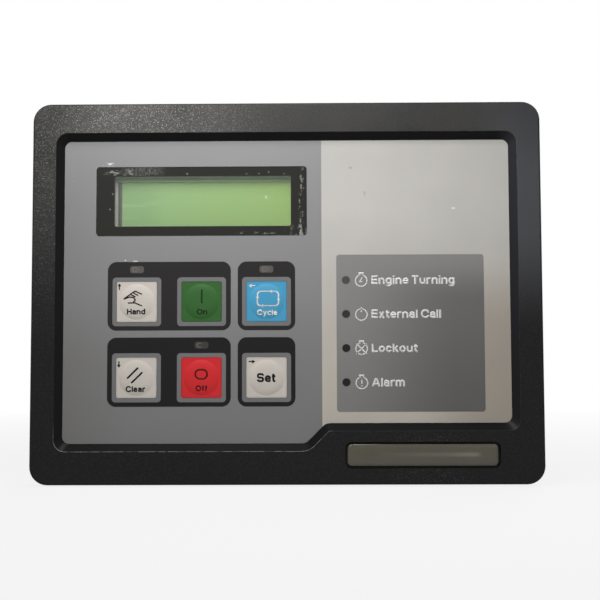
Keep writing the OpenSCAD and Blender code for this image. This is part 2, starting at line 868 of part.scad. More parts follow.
module microcontroller() color("#19191b") upright() on_board(chip_at)
    difference() {
        block(chip);
        translate([-chip.x / 2 + 2, chip.y / 2 - 2, chip.z - 0.2]) cylinder(d = 1.6, h = 1);
    }

module relays() color("#1f2a52") upright()
    for (i = [0:relays_n - 1])
        on_board(relay_at + [i * relay_pitch, 0]) slab(relay.x, relay.y, 0.8, 0, relay.z);

module sensing_transformers() color("#2b2b2b") upright()
    for (i = [0:relays_n - 1])
        on_board(sensor_at + [i * relay_pitch, 0])
            difference() {
                slab(sensor.x, sensor.y, 1.2, 0, sensor.z);
                rod(sensor_core_d, sensor.z - 1, sensor.z + 1);
            }

// Radial capacitors with the rolled groove near the seal
module capacitors() color("#2a3140") upright() {
    outer = cap_d / 2;
    inner = outer - cap_edge;
    for (i = [0:caps_n - 1])
        on_board(cap_at + [i * cap_pitch, 0])
            rotate_extrude() polygon([
                [0, 0], [inner, 0], [outer, cap_edge], [outer, cap_groove_at - cap_edge],
                [inner, cap_groove_at], [outer, cap_groove_at + cap_edge], [outer, cap_h - cap_edge],
                [inner, cap_h], [0, cap_h]
            ]);
}

// Drum-core inductor
module power_inductor() color("#3a3430") upright() on_board(coil_at)
    difference() {
        rod(coil_d, 0, coil_h);
        difference() {
            rod(coil_d + 1, coil_flange, coil_h - coil_flange);
            rod(coil_d - 2 * coil_waist, 0, coil_h);
        }
    }

module pin_places(ways, pitch, rows) {
    for (i = [0:ways - 1], j = [0:rows - 1])
        translate([(i - (ways - 1) / 2) * pitch, (j - (rows - 1) / 2) * pitch]) children();
}

// Open-topped header shell on the board, with a pin hole per way and a keying rib
module header(l, w, ways, pitch, rows) {
    difference() {
        union() {
            block([l, w, header_h]);
            translate([0, -w / 2 - header_gap / 4, header_h / 2])
                cube([l * 0.5, header_gap / 2, header_h], center = true);
        }
        translate([0, 0, header_floor]) block([l - 2 * header_t, w - 2 * header_t, header_h]);
        pin_places(ways, pitch, rows) translate([0, 0, header_floor / 2]) cube([pin_w, pin_w, header_floor + 1], center = true);
    }
}

module header_pins(ways, pitch, rows) {
    long = pin_tail + board_t + header_floor + pin_h;
    pin_places(ways, pitch, rows)
        translate([-pin_w / 2, -pin_w / 2, -board_t - pin_tail]) cube([pin_w, pin_w, long]);
}

module input_header() color("#3f8f4f") upright() on_board(input_at)
    header(input_l, plug_w, input_ways, plug_pitch, 1);
module input_pins() color("gold") upright() on_board(input_at)
    header_pins(input_ways, plug_pitch, 1);
module output_header() color("#3f8f4f") upright() on_board(output_at)
    header(output_l, plug_w, output_ways, plug_pitch, 1);
module output_pins() color("gold") upright() on_board(output_at)
    header_pins(output_ways, plug_pitch, 1);
module sensing_header() color("#3f8f4f") upright() on_board(sensing_at)
    header(sensing_l, sensing_w, sensing_ways, sensing_pitch, 1);
module sensing_pins() color("gold") upright() on_board(sensing_at)
    header_pins(sensing_ways, sensing_pitch, 1);
module harness_header() color("#1e1e1e") upright() on_board(harness_at)
    header(harness_l, harness_w, harness_ways, harness_pitch, 2);
module harness_pins() color("gold") upright() on_board(harness_at)
    header_pins(harness_ways, harness_pitch, 2);

module header_opening(at, l, w) {
    translate([at.x, at.y, -shelf_d])
        cube([l + 2 * header_gap, w + 2 * header_gap, 3 * cover_t], center = true);
}

// Ring between two rounded outlines, for the gasket and its groove
module gasket_ring(z0, z1) {
    inner_w = box_w + 2 * gasket_land;
    inner_h = box_h + 2 * gasket_land;
    difference() {
        slab(inner_w + 2 * gasket_w, inner_h + 2 * gasket_w, gasket_r + gasket_w, z0, z1);
        slab(inner_w, inner_h, gasket_r, z0 - 1, z1 + 1);
    }
}

// Flange inside the skirt, box with connector shelves, raised vented middle
module rear_cover() color("#232325") upright() {
    flange_out = skirt_t + cover_gap;
    inner_w = box_w - 2 * cover_t;
    inner_h = box_h - 2 * cover_t;
    inner_r = cover_r - cover_t;
    difference() {
        union() {
            difference() {
                union() {
                    slab(bezel_w - 2 * flange_out, bezel_h - 2 * flange_out, bezel_r - flange_out, 0, flange_t);
                    slab(box_w, box_h, cover_r, -shelf_d, flange_t);
                    slab(box_w, hump_h, cover_r, -cover_d, 0);
                }
                slab(inner_w, inner_h, inner_r, cover_t - shelf_d, flange_t + 1);
                slab(inner_w, hump_h - 2 * cover_t, inner_r, cover_t - cover_d, 0);
            }
            four(pillar_x, pillar_y) rod(pillar_d, -shelf_d, flange_t);
        }
        four(insert_x, insert_y) rod(insert_boss_d + 2 * cover_gap, -1, flange_t + 1);
        four(pillar_x, pillar_y) rod(screw_d + clear, -shelf_d - 1, flange_t + 1);
        four(pillar_x, pillar_y) rod(head_d + 2 * clear, -shelf_d - 1, 0);
        gasket_ring(-1, gasket_t);
        header_opening(input_at, input_l, plug_w);
        header_opening(output_at, output_l, plug_w);
        header_opening(sensing_at, sensing_l, sensing_w);
        header_opening(harness_at, harness_l, harness_w);
        for (i = [0:vents - 1])
            translate([(i - (vents - 1) / 2) * vent_pitch, 0, -(shelf_d + cover_d) / 2])
                cube([vent_w, hump_h + 2, vent_l], center = true);
    }
}

module panel_gasket() color("#121212") upright() gasket_ring(0, gasket_t);

module panel_inserts() color("#b08d3e") upright()
    four(insert_x, insert_y)
        difference() {
            rod(insert_d, 0, insert_l);
            rod(insert_bore, -1, insert_l + 1);
        }

front_housing();
graphic_overlay();
dome_spacer();
keypad_circuit();
manual_key();
start_key();
auto_key();
reset_key();
stop_key();
ok_key();
snap_dome(0);  // manual_snap_dome
snap_dome(1);  // start_snap_dome
snap_dome(2);  // auto_snap_dome
snap_dome(3);  // reset_snap_dome
snap_dome(4);  // stop_snap_dome
snap_dome(5);  // ok_snap_dome
display_lens();
lcd_frame();
lcd_glass();
lcd_backlight();
lcd_board();
lcd_standoffs();
lcd_header();
lcd_pins();
key_leds();
key_led_spacers();
status_leds();
status_led_spacers();
name_badge();
main_board();
board_screws();
tail_connector();
microcontroller();
relays();
capacitors();
power_inductor();
sensing_transformers();
input_header();
input_pins();
output_header();
output_pins();
sensing_header();
sensing_pins();
harness_header();
harness_pins();
rear_cover();
cover_screws();
panel_gasket();
panel_inserts();
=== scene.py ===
"""Looks of a panel-mounted generator controller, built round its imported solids."""

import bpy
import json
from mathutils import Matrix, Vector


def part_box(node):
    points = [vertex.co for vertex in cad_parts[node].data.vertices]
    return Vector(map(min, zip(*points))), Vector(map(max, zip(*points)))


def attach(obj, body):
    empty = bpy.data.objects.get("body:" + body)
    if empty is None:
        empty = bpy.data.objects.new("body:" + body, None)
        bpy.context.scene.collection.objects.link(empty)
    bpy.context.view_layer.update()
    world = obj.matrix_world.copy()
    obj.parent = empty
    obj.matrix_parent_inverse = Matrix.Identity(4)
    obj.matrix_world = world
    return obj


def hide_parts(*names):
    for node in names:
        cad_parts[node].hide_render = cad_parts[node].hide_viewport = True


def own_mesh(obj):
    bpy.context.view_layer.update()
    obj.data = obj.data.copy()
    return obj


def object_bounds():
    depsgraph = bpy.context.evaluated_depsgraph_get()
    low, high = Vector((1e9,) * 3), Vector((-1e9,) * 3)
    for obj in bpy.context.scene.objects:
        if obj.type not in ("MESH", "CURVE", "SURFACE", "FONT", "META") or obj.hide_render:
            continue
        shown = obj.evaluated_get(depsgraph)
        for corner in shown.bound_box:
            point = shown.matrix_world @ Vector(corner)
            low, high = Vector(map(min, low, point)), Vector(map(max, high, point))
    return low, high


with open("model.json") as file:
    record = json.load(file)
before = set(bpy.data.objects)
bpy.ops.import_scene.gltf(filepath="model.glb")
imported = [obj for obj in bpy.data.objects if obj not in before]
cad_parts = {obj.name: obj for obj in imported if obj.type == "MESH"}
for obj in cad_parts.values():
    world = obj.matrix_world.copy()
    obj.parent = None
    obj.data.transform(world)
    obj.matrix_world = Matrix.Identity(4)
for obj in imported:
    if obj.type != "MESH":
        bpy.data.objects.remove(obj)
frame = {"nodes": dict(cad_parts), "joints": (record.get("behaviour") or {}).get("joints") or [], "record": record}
CAD_BOX = [list(corner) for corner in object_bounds()]

import json
import math

import bmesh
import bpy
from bpy.props import FloatProperty, FloatVectorProperty, PointerProperty
from mathutils import Matrix, Vector

bl_info = {
    "name": "Generator controller",
    "version": (1, 0, 0),
    "blender": (4, 5, 0),
    "location": "View3D > Sidebar > Controller",
    "description": "Finishes, print and symbols of a panel-mounted generator controller",
    "category": "Object",
}

MM = 0.001
BODY = "controller"
KEY_TINTS = {
    "manual": "key_white", "start": "key_green", "auto": "key_blue",
    "reset": "key_white", "stop": "key_red", "ok": "key_white",
}
KEY_INKS = {"start": "green", "auto": "white", "stop": "red"}


# Places that the frame gives, in millimetres

def box_mm(node):
    """Lowest and highest corner of a solid in millimetres."""
    low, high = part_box(node)
    return low / MM, high / MM


def middle(node):
    low, high = box_mm(node)
    return (low + high) / 2


OVERLAY_LOW, OVERLAY_HIGH = box_mm("graphic_overlay")
OVERLAY_HALF = (OVERLAY_HIGH - OVERLAY_LOW) / 2
FACE = middle("graphic_overlay")
FILM_Y = OVERLAY_LOW.y
KEY_MID = middle("start_key") - FACE
KEY_PITCH_X = middle("auto_key").x - middle("start_key").x
KEY_PITCH_Z = middle("start_key").z - middle("stop_key").z
KEY_W = box_mm("start_key")[1].x - box_mm("start_key")[0].x
KEY_RISE = FILM_Y - box_mm("start_key")[0].y
LED_LOW, LED_HIGH = box_mm("status_leds")
LED_COUNT = 4
LED_D = LED_HIGH.x - LED_LOW.x
LED_X = (LED_LOW.x + LED_HIGH.x) / 2 - FACE.x
LED_TOP = LED_HIGH.z - LED_D / 2 - FACE.z
LED_PITCH = (LED_HIGH.z - LED_LOW.z - LED_D) / (LED_COUNT - 1)

# Run of the pocket's sloping wall, and corner radii from the bezel to the display's opening
WALL_RUN = 2.9
BEZEL_R = 6.0
LIP_R = 5.0
BADGE_R = 1.8
PANEL_R = 1.2
LAMP_R = 1.0
PAD_R = 0.8
CLEAR_R = 0.8
OPENING_R = 0.3

# Parts of a key lamp as its window shows them: half width, half height and corner radius
LAMP_CORE = (1.4, 0.6, 0.6)
LAMP_RIM = (1.9, 0.95, 0.9)
LAMP_GLOW = (0.9, 0.45, 0.4)

# Meshes: points closer than the first are welded, faces that turn by less than the second are joined,
# the third keeps a dome smooth, and the rest are steps round a curve
WELD = 0.002
FLAT_DEGREES = 0.4
DOME_DEGREES = 50.0
CORNER_STEPS = 6
TURN_STEPS = 24
CREST_SIDES = 4

# Share of the left distant lamp's power that the right one has
RIGHT_SHARE = 0.2

# Linear colours that aren't settings: wear, painted highlights and reflections on the bezel and the badge, painted
# shade on the overlay, lens, display, foil of the badge and boards
HIGHLIGHT_LIFT = (0.1, 0.097, 0.092)
GRAIN_SPECK_AND_SPARKLE = (0.3, 0.292, 0.278)
RIGHT_REFLECTION = (0.078, 0.08, 0.086)
WALL_REFLECTION = (0.024, 0.0245, 0.029)
LIP_HIGHLIGHT = (0.26, 0.245, 0.225)
DARK_FIELD_SHADE = (0.19, 0.186, 0.178)
YELLOWED = (0.7, 0.63, 0.53)
LOWER_RIGHT_SHADE = (0.47, 0.41, 0.34)
LENS_BORDER = (0.0155, 0.0158, 0.0125)
LENS_CLEAR = (0.62, 0.64, 0.60)
RESIDUE = (0.62, 0.62, 0.58)
PALE_STREAK = (0.36, 0.5, 0.31)
GLASS_SEAL = (0.054, 0.076, 0.041)
PALE_STRIP = (0.31, 0.31, 0.275)
DIFFUSER_DARK = (0.27, 0.267, 0.236)
DIFFUSER_PALE = (0.31, 0.306, 0.272)
DIFFUSER_SEAL = (0.045, 0.058, 0.034)
FOIL_SHADE = (0.062, 0.05, 0.041)
BADGE_HIGHLIGHT = (0.22, 0.2, 0.17)
RESIST = (0.012, 0.075, 0.03)
TRACK = (0.02, 0.12, 0.05)

# Single marks of use, from the centre of the overlay and of the lens's window: place and half sizes
PALE_FLECKS = ((65.6, 32.3, 0.7, 0.3), (-63.2, 12.2, 0.3, 0.3), (-59.3, 11.9, 0.9, 0.2))
DARK_FLECKS = ((25.3, 48.5, 0.7, 0.4), (30.8, 38.3, 0.3, 0.9))
LENS_FLECKS = (
    (-6.1, 10.9, 0.3, 0.3), (-35.5, 3.0, 0.2, 0.3), (-36.5, -3.1, 0.3, 0.3), (25.0, 1.6, 0.4, 0.8),
    (17.3, 10.8, 0.4, 0.1), (22.2, 10.9, 0.2, 0.2), (26.0, 11.5, 0.3, 0.2), (32.1, 10.8, 0.2, 0.2),
    (39.8, 5.0, 0.2, 0.2),
)


# Settings that a user may change

def length(name, description, millimetres):
    return FloatProperty(
        name=name, description=description, default=millimetres * MM, unit="LENGTH", precision=5
    )


def power(name, description, watts):
    return FloatProperty(name=name, description=description, default=watts, unit="POWER")


def linear(value):
    """Linear value of one sRGB channel from 0 to 255."""
    share = value / 255
    return share / 12.92 if share <= 0.04045 else ((share + 0.055) / 1.055) ** 2.4


def colour(name, description, red, green, blue):
    """Colour property whose default is written in sRGB, 0 to 255."""
    return FloatVectorProperty(
        name=name, description=description, subtype="COLOR", size=3, min=0, max=1,
        default=[linear(value) for value in (red, green, blue)],
    )


class ControllerPrint(bpy.types.PropertyGroup):
    """Sizes of the print on the membrane and the lens"""
    divider: length("Divider", "Right end of the dark field, from the overlay's centre", 13.85)
    group_left: length("Group margin", "Black group beyond its outer keys, left and right", 11.45)
    group_up: length("Group top", "Black group above the centres of its keys", 15.7)
    group_down: length("Group bottom", "Black group below the centres of its keys", 11.3)
    group_r: length("Group corner", "Corner radius of a black group", 3.5)
    frame_w: length("Key frame", "Side of the grey frame round a key", 19.1)
    frame_r: length("Frame corner", "Corner radius of a key's frame", 1.4)
    led_rise: length("Lamp rise", "Lamp window above its key", 12.65)
    led_w: length("Lamp width", "Width of a lamp window", 5.4)
    led_h: length("Lamp height", "Height of a lamp window", 2.75)
    panel_left: length("Panel left", "Left edge of the status panel, from the overlay's centre", 19.55)
    panel_right: length("Panel right", "Right edge of the status panel", 77.2)
    panel_top: length("Panel top", "Top of the status panel", 14.1)
    panel_bottom: length("Panel bottom", "Bottom of the status panel", -47.3)
    status_d: length("Status window", "Diameter of a status lamp's window", 3.2)
    window_w: length("Window width", "Width of the clear part of the lens", 69.4)
    window_h: length("Window height", "Height of the clear part of the lens", 19.7)
    window_dx: length("Window shift", "Clear part to the right of the lens's centre", 0.5)
    crown_d: length("Key crown", "Diameter of a key's raised crown", 14.4)


class ControllerColours(bpy.types.PropertyGroup):
    """Colours of the finishes"""
    bezel: colour("Bezel", "Moulded bezel", 23, 23, 24)
    cover: colour("Cover", "Moulded rear cover", 35, 35, 37)
    field_dark: colour("Dark field", "Left field of the overlay", 142, 142, 143)
    field_light: colour("Light field", "Right field of the overlay", 209, 206, 199)
    panel: colour("Status panel", "Panel behind the status words", 124, 123, 121)
    group: colour("Key group", "Print round the keys", 34, 32, 33)
    key_frame: colour("Key frame", "Frame round a key", 120, 120, 121)
    key_white: colour("White key", "Film of a white key", 211, 204, 195)
    key_green: colour("Green key", "Film of the green key", 52, 98, 47)
    key_blue: colour("Blue key", "Film of the blue key", 76, 160, 200)
    key_red: colour("Red key", "Film of the red key", 216, 48, 52)
    lamp: colour("Lamp window", "Unlit window of a key lamp", 89, 87, 83)
    display_cool: colour("Cool display", "Left end of the unlit display", 131, 170, 112)
    display_warm: colour("Warm display", "Right end of the unlit display", 134, 167, 85)
    badge: colour("Badge", "Domed badge", 73, 69, 48)


class ControllerStage(bpy.types.PropertyGroup):
    """Camera and lamps"""
    camera: FloatVectorProperty(
        name="Camera", description="Place of the camera", subtype="TRANSLATION", unit="LENGTH",
        default=(10.8 * MM, -460.0 * MM, -33.9 * MM),
    )
    aim: FloatVectorProperty(
        name="Aim", description="Pitch, roll and yaw of the camera", subtype="EULER", unit="ROTATION",
        default=[math.radians(angle) for angle in (3.933, 0.183, 0.70)],
    )
    lens: FloatProperty(name="Lens", description="Focal length", default=69.05, unit="CAMERA")
    key_power: power("Key lamp", "Power of the key lamp", 0.72)
    sheen_power: power("Sheen lamps", "Power of the left one of the two distant lamps", 0.28)
    rear_power: power("Rear lamp", "Power of the rear lamp", 5.5)
    room: FloatProperty(name="Room", description="Strength of the light from the room", default=0.03)


# Shader maths

class Wire:
    """One output of a shader node. Arithmetic on wires adds Math nodes."""

    def __init__(self, shader, socket):
        self.shader = shader
        self.socket = socket

    def math(self, operation, other=0.0, clamp=False):
        settings = {"operation": operation, "use_clamp": clamp}
        return self.shader.node("Math", settings, {0: self, 1: other})

    def __add__(self, other):
        return self.math("ADD", other)

    def __sub__(self, other):
        return self.math("SUBTRACT", other)

    def __rsub__(self, other):
        return self * -1.0 + other

    def __mul__(self, other):
        return self.math("MULTIPLY", other)

    def __truediv__(self, other):
        return self.math("DIVIDE", other)

    def __abs__(self):
        return self.math("ABSOLUTE")

    __radd__ = __add__
    __rmul__ = __mul__

    def nearest(self, low, high):
        """Nearest whole number from low to high."""
        return self.math("ROUND").math("MAXIMUM", low).math("MINIMUM", high)

    def ramp(self, low, high):
        """0 below low, 1 above high."""
        settings = {"interpolation_type": "SMOOTHSTEP"}
        return self.shader.node("MapRange", settings, {0: self, 1: low, 2: high})

    def fall(self, low, high):
        """1 below low, 0 above high."""
        return 1 - self.ramp(low, high)

    def band(self, start, end):
        """Rises over its start and falls over its end."""
        return self.ramp(*start) * self.fall(*end)


class Shader:
    """One material and its nodes. Patterns are in millimetres of object space."""

    def __init__(self, name, centre=(0, 0, 0)):
        self.material = bpy.data.materials.new(name)
        self.material.use_nodes = True
        self.tree = self.material.node_tree
        self.tree.nodes.clear()
        self.output = self.tree.nodes.new("ShaderNodeOutputMaterial")
        place = self.node("TexCoord", out="Object")
        self.place = self.node(
            "Mapping", {"vector_type": "POINT"},
            {"Vector": place, "Location": [-value for value in centre], "Scale": (1 / MM,) * 3},
        )

    def node(self, kind, settings=None, sockets=None, out=0):
        """One node by the end of its type's name: its settings, then the values or links of its sockets."""
        made = self.tree.nodes.new("ShaderNode" + kind)
        for key, value in (settings or {}).items():
            setattr(made, key, value)
        for key, value in (sockets or {}).items():
            if isinstance(value, Wire):
                self.tree.links.new(value.socket, made.inputs[key])
            else:
                made.inputs[key].default_value = value
        return Wire(self, made.outputs[out])

    def axes(self):
        return [self.node("SeparateXYZ", None, {0: self.place}, out=i) for i in range(3)]

    def noise(self, scale, detail=2.0, stretch=None):
        """Noise with a given number of features in each millimetre."""
        place = self.place
        if stretch:
            sockets = {"Vector": place, "Scale": stretch}
            place = self.node("Mapping", {"vector_type": "POINT"}, sockets)
        return self.node("TexNoise", None, {"Vector": place, "Scale": scale, "Detail": detail})

    def mix(self, factor, first, second):
        sockets = {0: factor, 6: rgba(first), 7: rgba(second)}
        return self.node("Mix", {"data_type": "RGBA"}, sockets, out=2)

    def mottle(self, pattern, base, dark, pale, low=0.3, high=0.7):
        """Colour between a darker and a paler tone, by a pattern."""
        return self.mix(pattern.ramp(low, high), tone(base, dark), tone(base, pale))

    def rounded(self, x, z, half_w, half_h, radius):
        """Distance outside a rounded rectangle, below zero within its rim."""
        point = self.node("CombineXYZ", None, {0: abs(x), 1: abs(z)})
        reach = (half_w - radius, half_h - radius, 0)
        past = self.node("VectorMath", {"operation": "SUBTRACT"}, {0: point, 1: reach})
        past = self.node("VectorMath", {"operation": "MAXIMUM"}, {0: past, 1: (0, 0, 0)})
        return self.node("VectorMath", {"operation": "LENGTH"}, {0: past}, out="Value") - radius

    def inside(self, distance, soft=0.12):
        """1 inside an outline and 0 outside, with a soft edge in millimetres."""
        return (distance / -soft).math("ADD", 0.5, clamp=True)

    def marks(self, x, z, places):
        """1 on a few small marks, each given by its place and its half sizes."""
        found = x * 0
        for place_x, place_z, half_w, half_h in places:
            distance = self.rounded(x - place_x, z - place_z, half_w, half_h, min(half_w, half_h))
            found = found.math("MAXIMUM", self.inside(distance, 0.3))
        return found

    def bump(self, height, depth):
        """Relief of a given depth in millimetres."""
        return self.node("Bump", None, {"Height": height, "Strength": 1.0, "Distance": depth * MM})

    def surface(self, **values):
        """Principled surface. Names are the sockets' names with _ for a space."""
        sockets = {key.replace("_", " "): value for key, value in values.items()}
        sockets["Base Color"] = rgba(sockets["Base Color"])
        return self.node("BsdfPrincipled", None, sockets)

    def show(self, surface):
        self.tree.links.new(surface.socket, self.output.inputs["Surface"])
        return self.material

    def finish(self, **values):
        """Material of one surface."""
        return self.show(self.surface(**values))

    def finish_pair(self, share, first, second):
        """Material that goes from one surface to another."""
        return self.show(self.node("MixShader", None, {0: share, 1: first, 2: second}))


def rgba(value):
    return value if isinstance(value, Wire) else (*value[:3], 1.0)


def tone(value, factor):
    """A colour made lighter or darker by one factor."""
    return [min(1.0, channel * factor) for channel in value[:3]]


def shader_on(name, node):
    """Shader about the middle of a solid, its three axes and the solid's half sizes."""
    low, high = box_mm(node)
    shader = Shader(name, (low + high) / 2)
    return shader, *shader.axes(), (high - low) / 2


# Finishes

def moulded(name, base, grain=1.4, depth=0.05, rough=0.5):
    """Textured plastic: a fine grain, a little sheen and faint unevenness."""
    shader = Shader(name)
    fine = shader.noise(grain, 3.0)
    broad = shader.noise(0.04, 2.0)
    film = shader.mottle(fine, base, 0.8, 1.25, low=0.35)
    return shader.finish(
        Base_Color=film,
        Roughness=rough + (broad - 0.5) * 0.2,
        Normal=shader.bump(fine, depth),
    )


def bezel_plastic(colours):
    """Grained bezel whose pocket wall and recess are smooth."""
    shader = Shader("bezel_plastic", FACE)
    x, y, z = shader.axes()
    low, high = box_mm("front_housing")
    depth = y - (low.y - FACE.y)
    lip = shader.rounded(x, z, OVERLAY_HALF.x + WALL_RUN, OVERLAY_HALF.z + WALL_RUN, LIP_R)
    wall = shader.inside(lip - 0.4) * depth.ramp(0.02, 0.12)
    half = (high - low) / 2
    outline = shader.rounded(x + FACE.x, z + FACE.z, half.x, half.z, BEZEL_R)
    broad = shader.noise(0.03, 3.0)
    face = bezel_face(shader, x, z, outline, broad, colours.bezel)
    slope = bezel_slope(shader, x, z, depth, broad, colours.bezel)
    return shader.finish_pair(wall, face, slope)


def bezel_face(shader, x, z, outline, broad, base):
    """Grained plastic with a painted highlight at its upper left, a painted reflection at its upper right and a
    painted sheen beside the badge, all off its rounded outer edge.
    """
    grain = shader.noise(2.4, 2.0)
    speck = shader.noise(2.4, 3.0)
    # The painted light stops short of the rounded outer edge, which stays dark
    flat = outline.fall(-1.5, -0.7)
    upper = z.ramp(-25, 70) * flat
    near_corner = x.ramp(-92, -75) * 0.5 + 0.5
    # Painted highlight: lighter specks over the upper left
    painted_sparkle = x.fall(-58, 5) * upper * near_corner
    # Painted highlight: a lighter smooth lift over the upper face, strongest at the left
    painted_highlight = (x.fall(-58, 2) * 0.62 + 0.38) * x.fall(80, 95) * upper * near_corner
    # Painted reflection: a cool lighter tone down the right side
    painted_reflection = x.ramp(70, 92) * z.ramp(-18, 24) * (1 - z.ramp(40, 75) * 0.5) * flat
    # Painted sheen: lighter specks beside the badge
    sheen_by_badge = x.band((36, 48), (62, 76)) * z.fall(-59, -54)
    film = shader.mottle(grain, base, 0.72, 1.3, high=0.75)
    film = shader.mix(painted_highlight * broad.ramp(0.1, 0.6) * 0.74, film, HIGHLIGHT_LIFT)
    # Lighter specks: painted highlight at the upper left, painted sheen beside the badge, and a few grain specks
    # all over
    film = shader.mix(speck.ramp(0.52, 0.72) * (painted_sparkle * 0.95 + sheen_by_badge * 0.12 + 0.03), film, GRAIN_SPECK_AND_SPARKLE)
    film = shader.mix(painted_reflection * 0.85, film, RIGHT_REFLECTION)
    return shader.surface(
        Base_Color=film,
        Roughness=0.43 + (broad - 0.5) * 0.2,
        Specular_IOR_Level=0.14,
        Normal=shader.bump(grain, 0.08),
    )


def bezel_slope(shader, x, z, depth, broad, base):
    """Smooth plastic of the pocket's wall, with a painted highlight in places along its lip and a painted
    reflection on its right side.
    """
    low_left = (z + OVERLAY_HALF.z).fall(1, 9) * x.fall(16, 19)
    top_right = x.ramp(30, 75) * z.ramp(40, 52)
    broken = shader.noise(0.5, 3.0).ramp(0.22, 0.62)
    # Painted highlight: a thin broken lighter line along the lip, strongest at the lower left
    painted_highlight = depth.fall(0.14, 0.26) * (low_left * 0.9 + top_right * 0.2 + 0.1) * broken
    film = shader.mottle(broad, base, 0.5, 0.7)
    # Painted reflection: a cool lighter tone on the right wall, stronger higher up
    film = shader.mix(x.ramp(82, 87) * (z.ramp(-40, 50) * 0.6 + 0.25), film, WALL_REFLECTION)
    return shader.surface(
        Base_Color=shader.mix(painted_highlight, film, LIP_HIGHLIGHT),
        Roughness=0.3 + (broad - 0.5) * 0.1,
        Specular_IOR_Level=0.085,
    )


def film_wear(shader):
    """Wear of a film that fingers touch: its roughness, fine texture, smudges and flecks."""
    smudge = shader.noise(0.05, 4.0)
    fine = shader.noise(7.0, 2.0)
    fleck = shader.noise(0.9, 4.0).ramp(0.74, 0.78) * shader.noise(0.06, 1.0).ramp(0.5, 0.65)
    return 0.5 + (smudge - 0.5) * 0.25, fine, smudge, fleck


def overlay_film(sizes, colours):
    """Print of the membrane, with residue and flecks on it."""
    shader = Shader("overlay_film", FACE)
    x, _, z = shader.axes()
    rough, fine, smudge, fleck = film_wear(shader)
    film = printed_fields(shader, x, z, smudge, sizes.divider / MM, colours)
    film = printed_panel(shader, x, z, film, sizes, colours)
    film, group = printed_keys(shader, x, z, film, sizes, colours)
    crust = lens_crust(shader, x, z)
    film = shader.mix(fleck * 0.35 + crust * 0.7, film, tone(colours.field_light, 1.4))
    film = shader.mix(shader.marks(x, z, PALE_FLECKS) * 0.6, film, tone(colours.field_light, 1.5))
    film = shader.mix(shader.marks(x, z, DARK_FLECKS) * 0.25, film, colours.group)
    return shader.finish(
        Base_Color=film,
        Roughness=rough - group * 0.06,
        Specular_IOR_Level=0.16,
        Normal=shader.bump(fine, 0.006),
    )


def printed_fields(shader, x, z, smudge, divider, colours):
    """Dark field with painted shade towards its bottom and left edge, and pale field with painted shade at its top
    and lower right, yellowed at its lower end.
    """
    # Painted shade: darker and a little warmer towards the bottom and the left edge
    lower_left_shade = z.fall(-28, 8) * 0.48 + x.fall(-92, -55) * z.fall(20, 80) * 0.45
    dark = shader.mix(lower_left_shade, colours.field_dark, DARK_FIELD_SHADE)
    # Painted shade: darker towards the top
    pale = shader.mix(z.ramp(28, 62) * 0.7, colours.field_light, tone(colours.field_light, 0.82))
    pale = shader.mix(z.fall(-45, 25) * 0.75, pale, YELLOWED)
    # Painted shade: darker and warmer at the lower right
    pale = shader.mix(x.ramp(45, 82) * z.fall(-14, 16) * 0.95, pale, LOWER_RIGHT_SHADE)
    field = shader.mix((x - divider).ramp(-0.1, 0.1), dark, pale)
    return shader.mix((smudge - 0.5) * 0.22 + 0.25, field, tone(colours.field_dark, 0.85))


def printed_panel(shader, x, z, film, sizes, colours):
    """Status panel with painted light at its upper left and painted shade towards its lower right, with the round
    windows of its lamps.
    """
    panel_x = x - (sizes.panel_left + sizes.panel_right) / 2 / MM
    panel_z = z - (sizes.panel_top + sizes.panel_bottom) / 2 / MM
    half_w = (sizes.panel_right - sizes.panel_left) / 2 / MM
    half_h = (sizes.panel_top - sizes.panel_bottom) / 2 / MM
    panel = shader.inside(shader.rounded(panel_x, panel_z, half_w, half_h, PANEL_R))
    # Painted light at the upper left and painted shade towards the lower right
    panel_light_and_shade = panel_x.ramp(-half_w, half_w * 0.7) * panel_z.fall(half_h * 0.4, half_h)
    panel_light_and_shade = panel_light_and_shade * 0.74 + panel_z.fall(-half_h, half_h * 0.4) * 0.16
    film = shader.mix(panel, film, shader.mix(panel_light_and_shade, tone(colours.panel, 1.28), tone(colours.panel, 0.62)))
    row = ((LED_TOP - z) / LED_PITCH).nearest(0, LED_COUNT - 1)
    window_r = sizes.status_d / 2 / MM
    window = shader.rounded(x - LED_X, z - LED_TOP + row * LED_PITCH, window_r, window_r, window_r)
    unlit = shader.mix(row.ramp(0, 1.6), tone(colours.lamp, 0.75), tone(colours.group, 0.7))
    return shader.mix(shader.inside(window, 0.3), film, unlit)


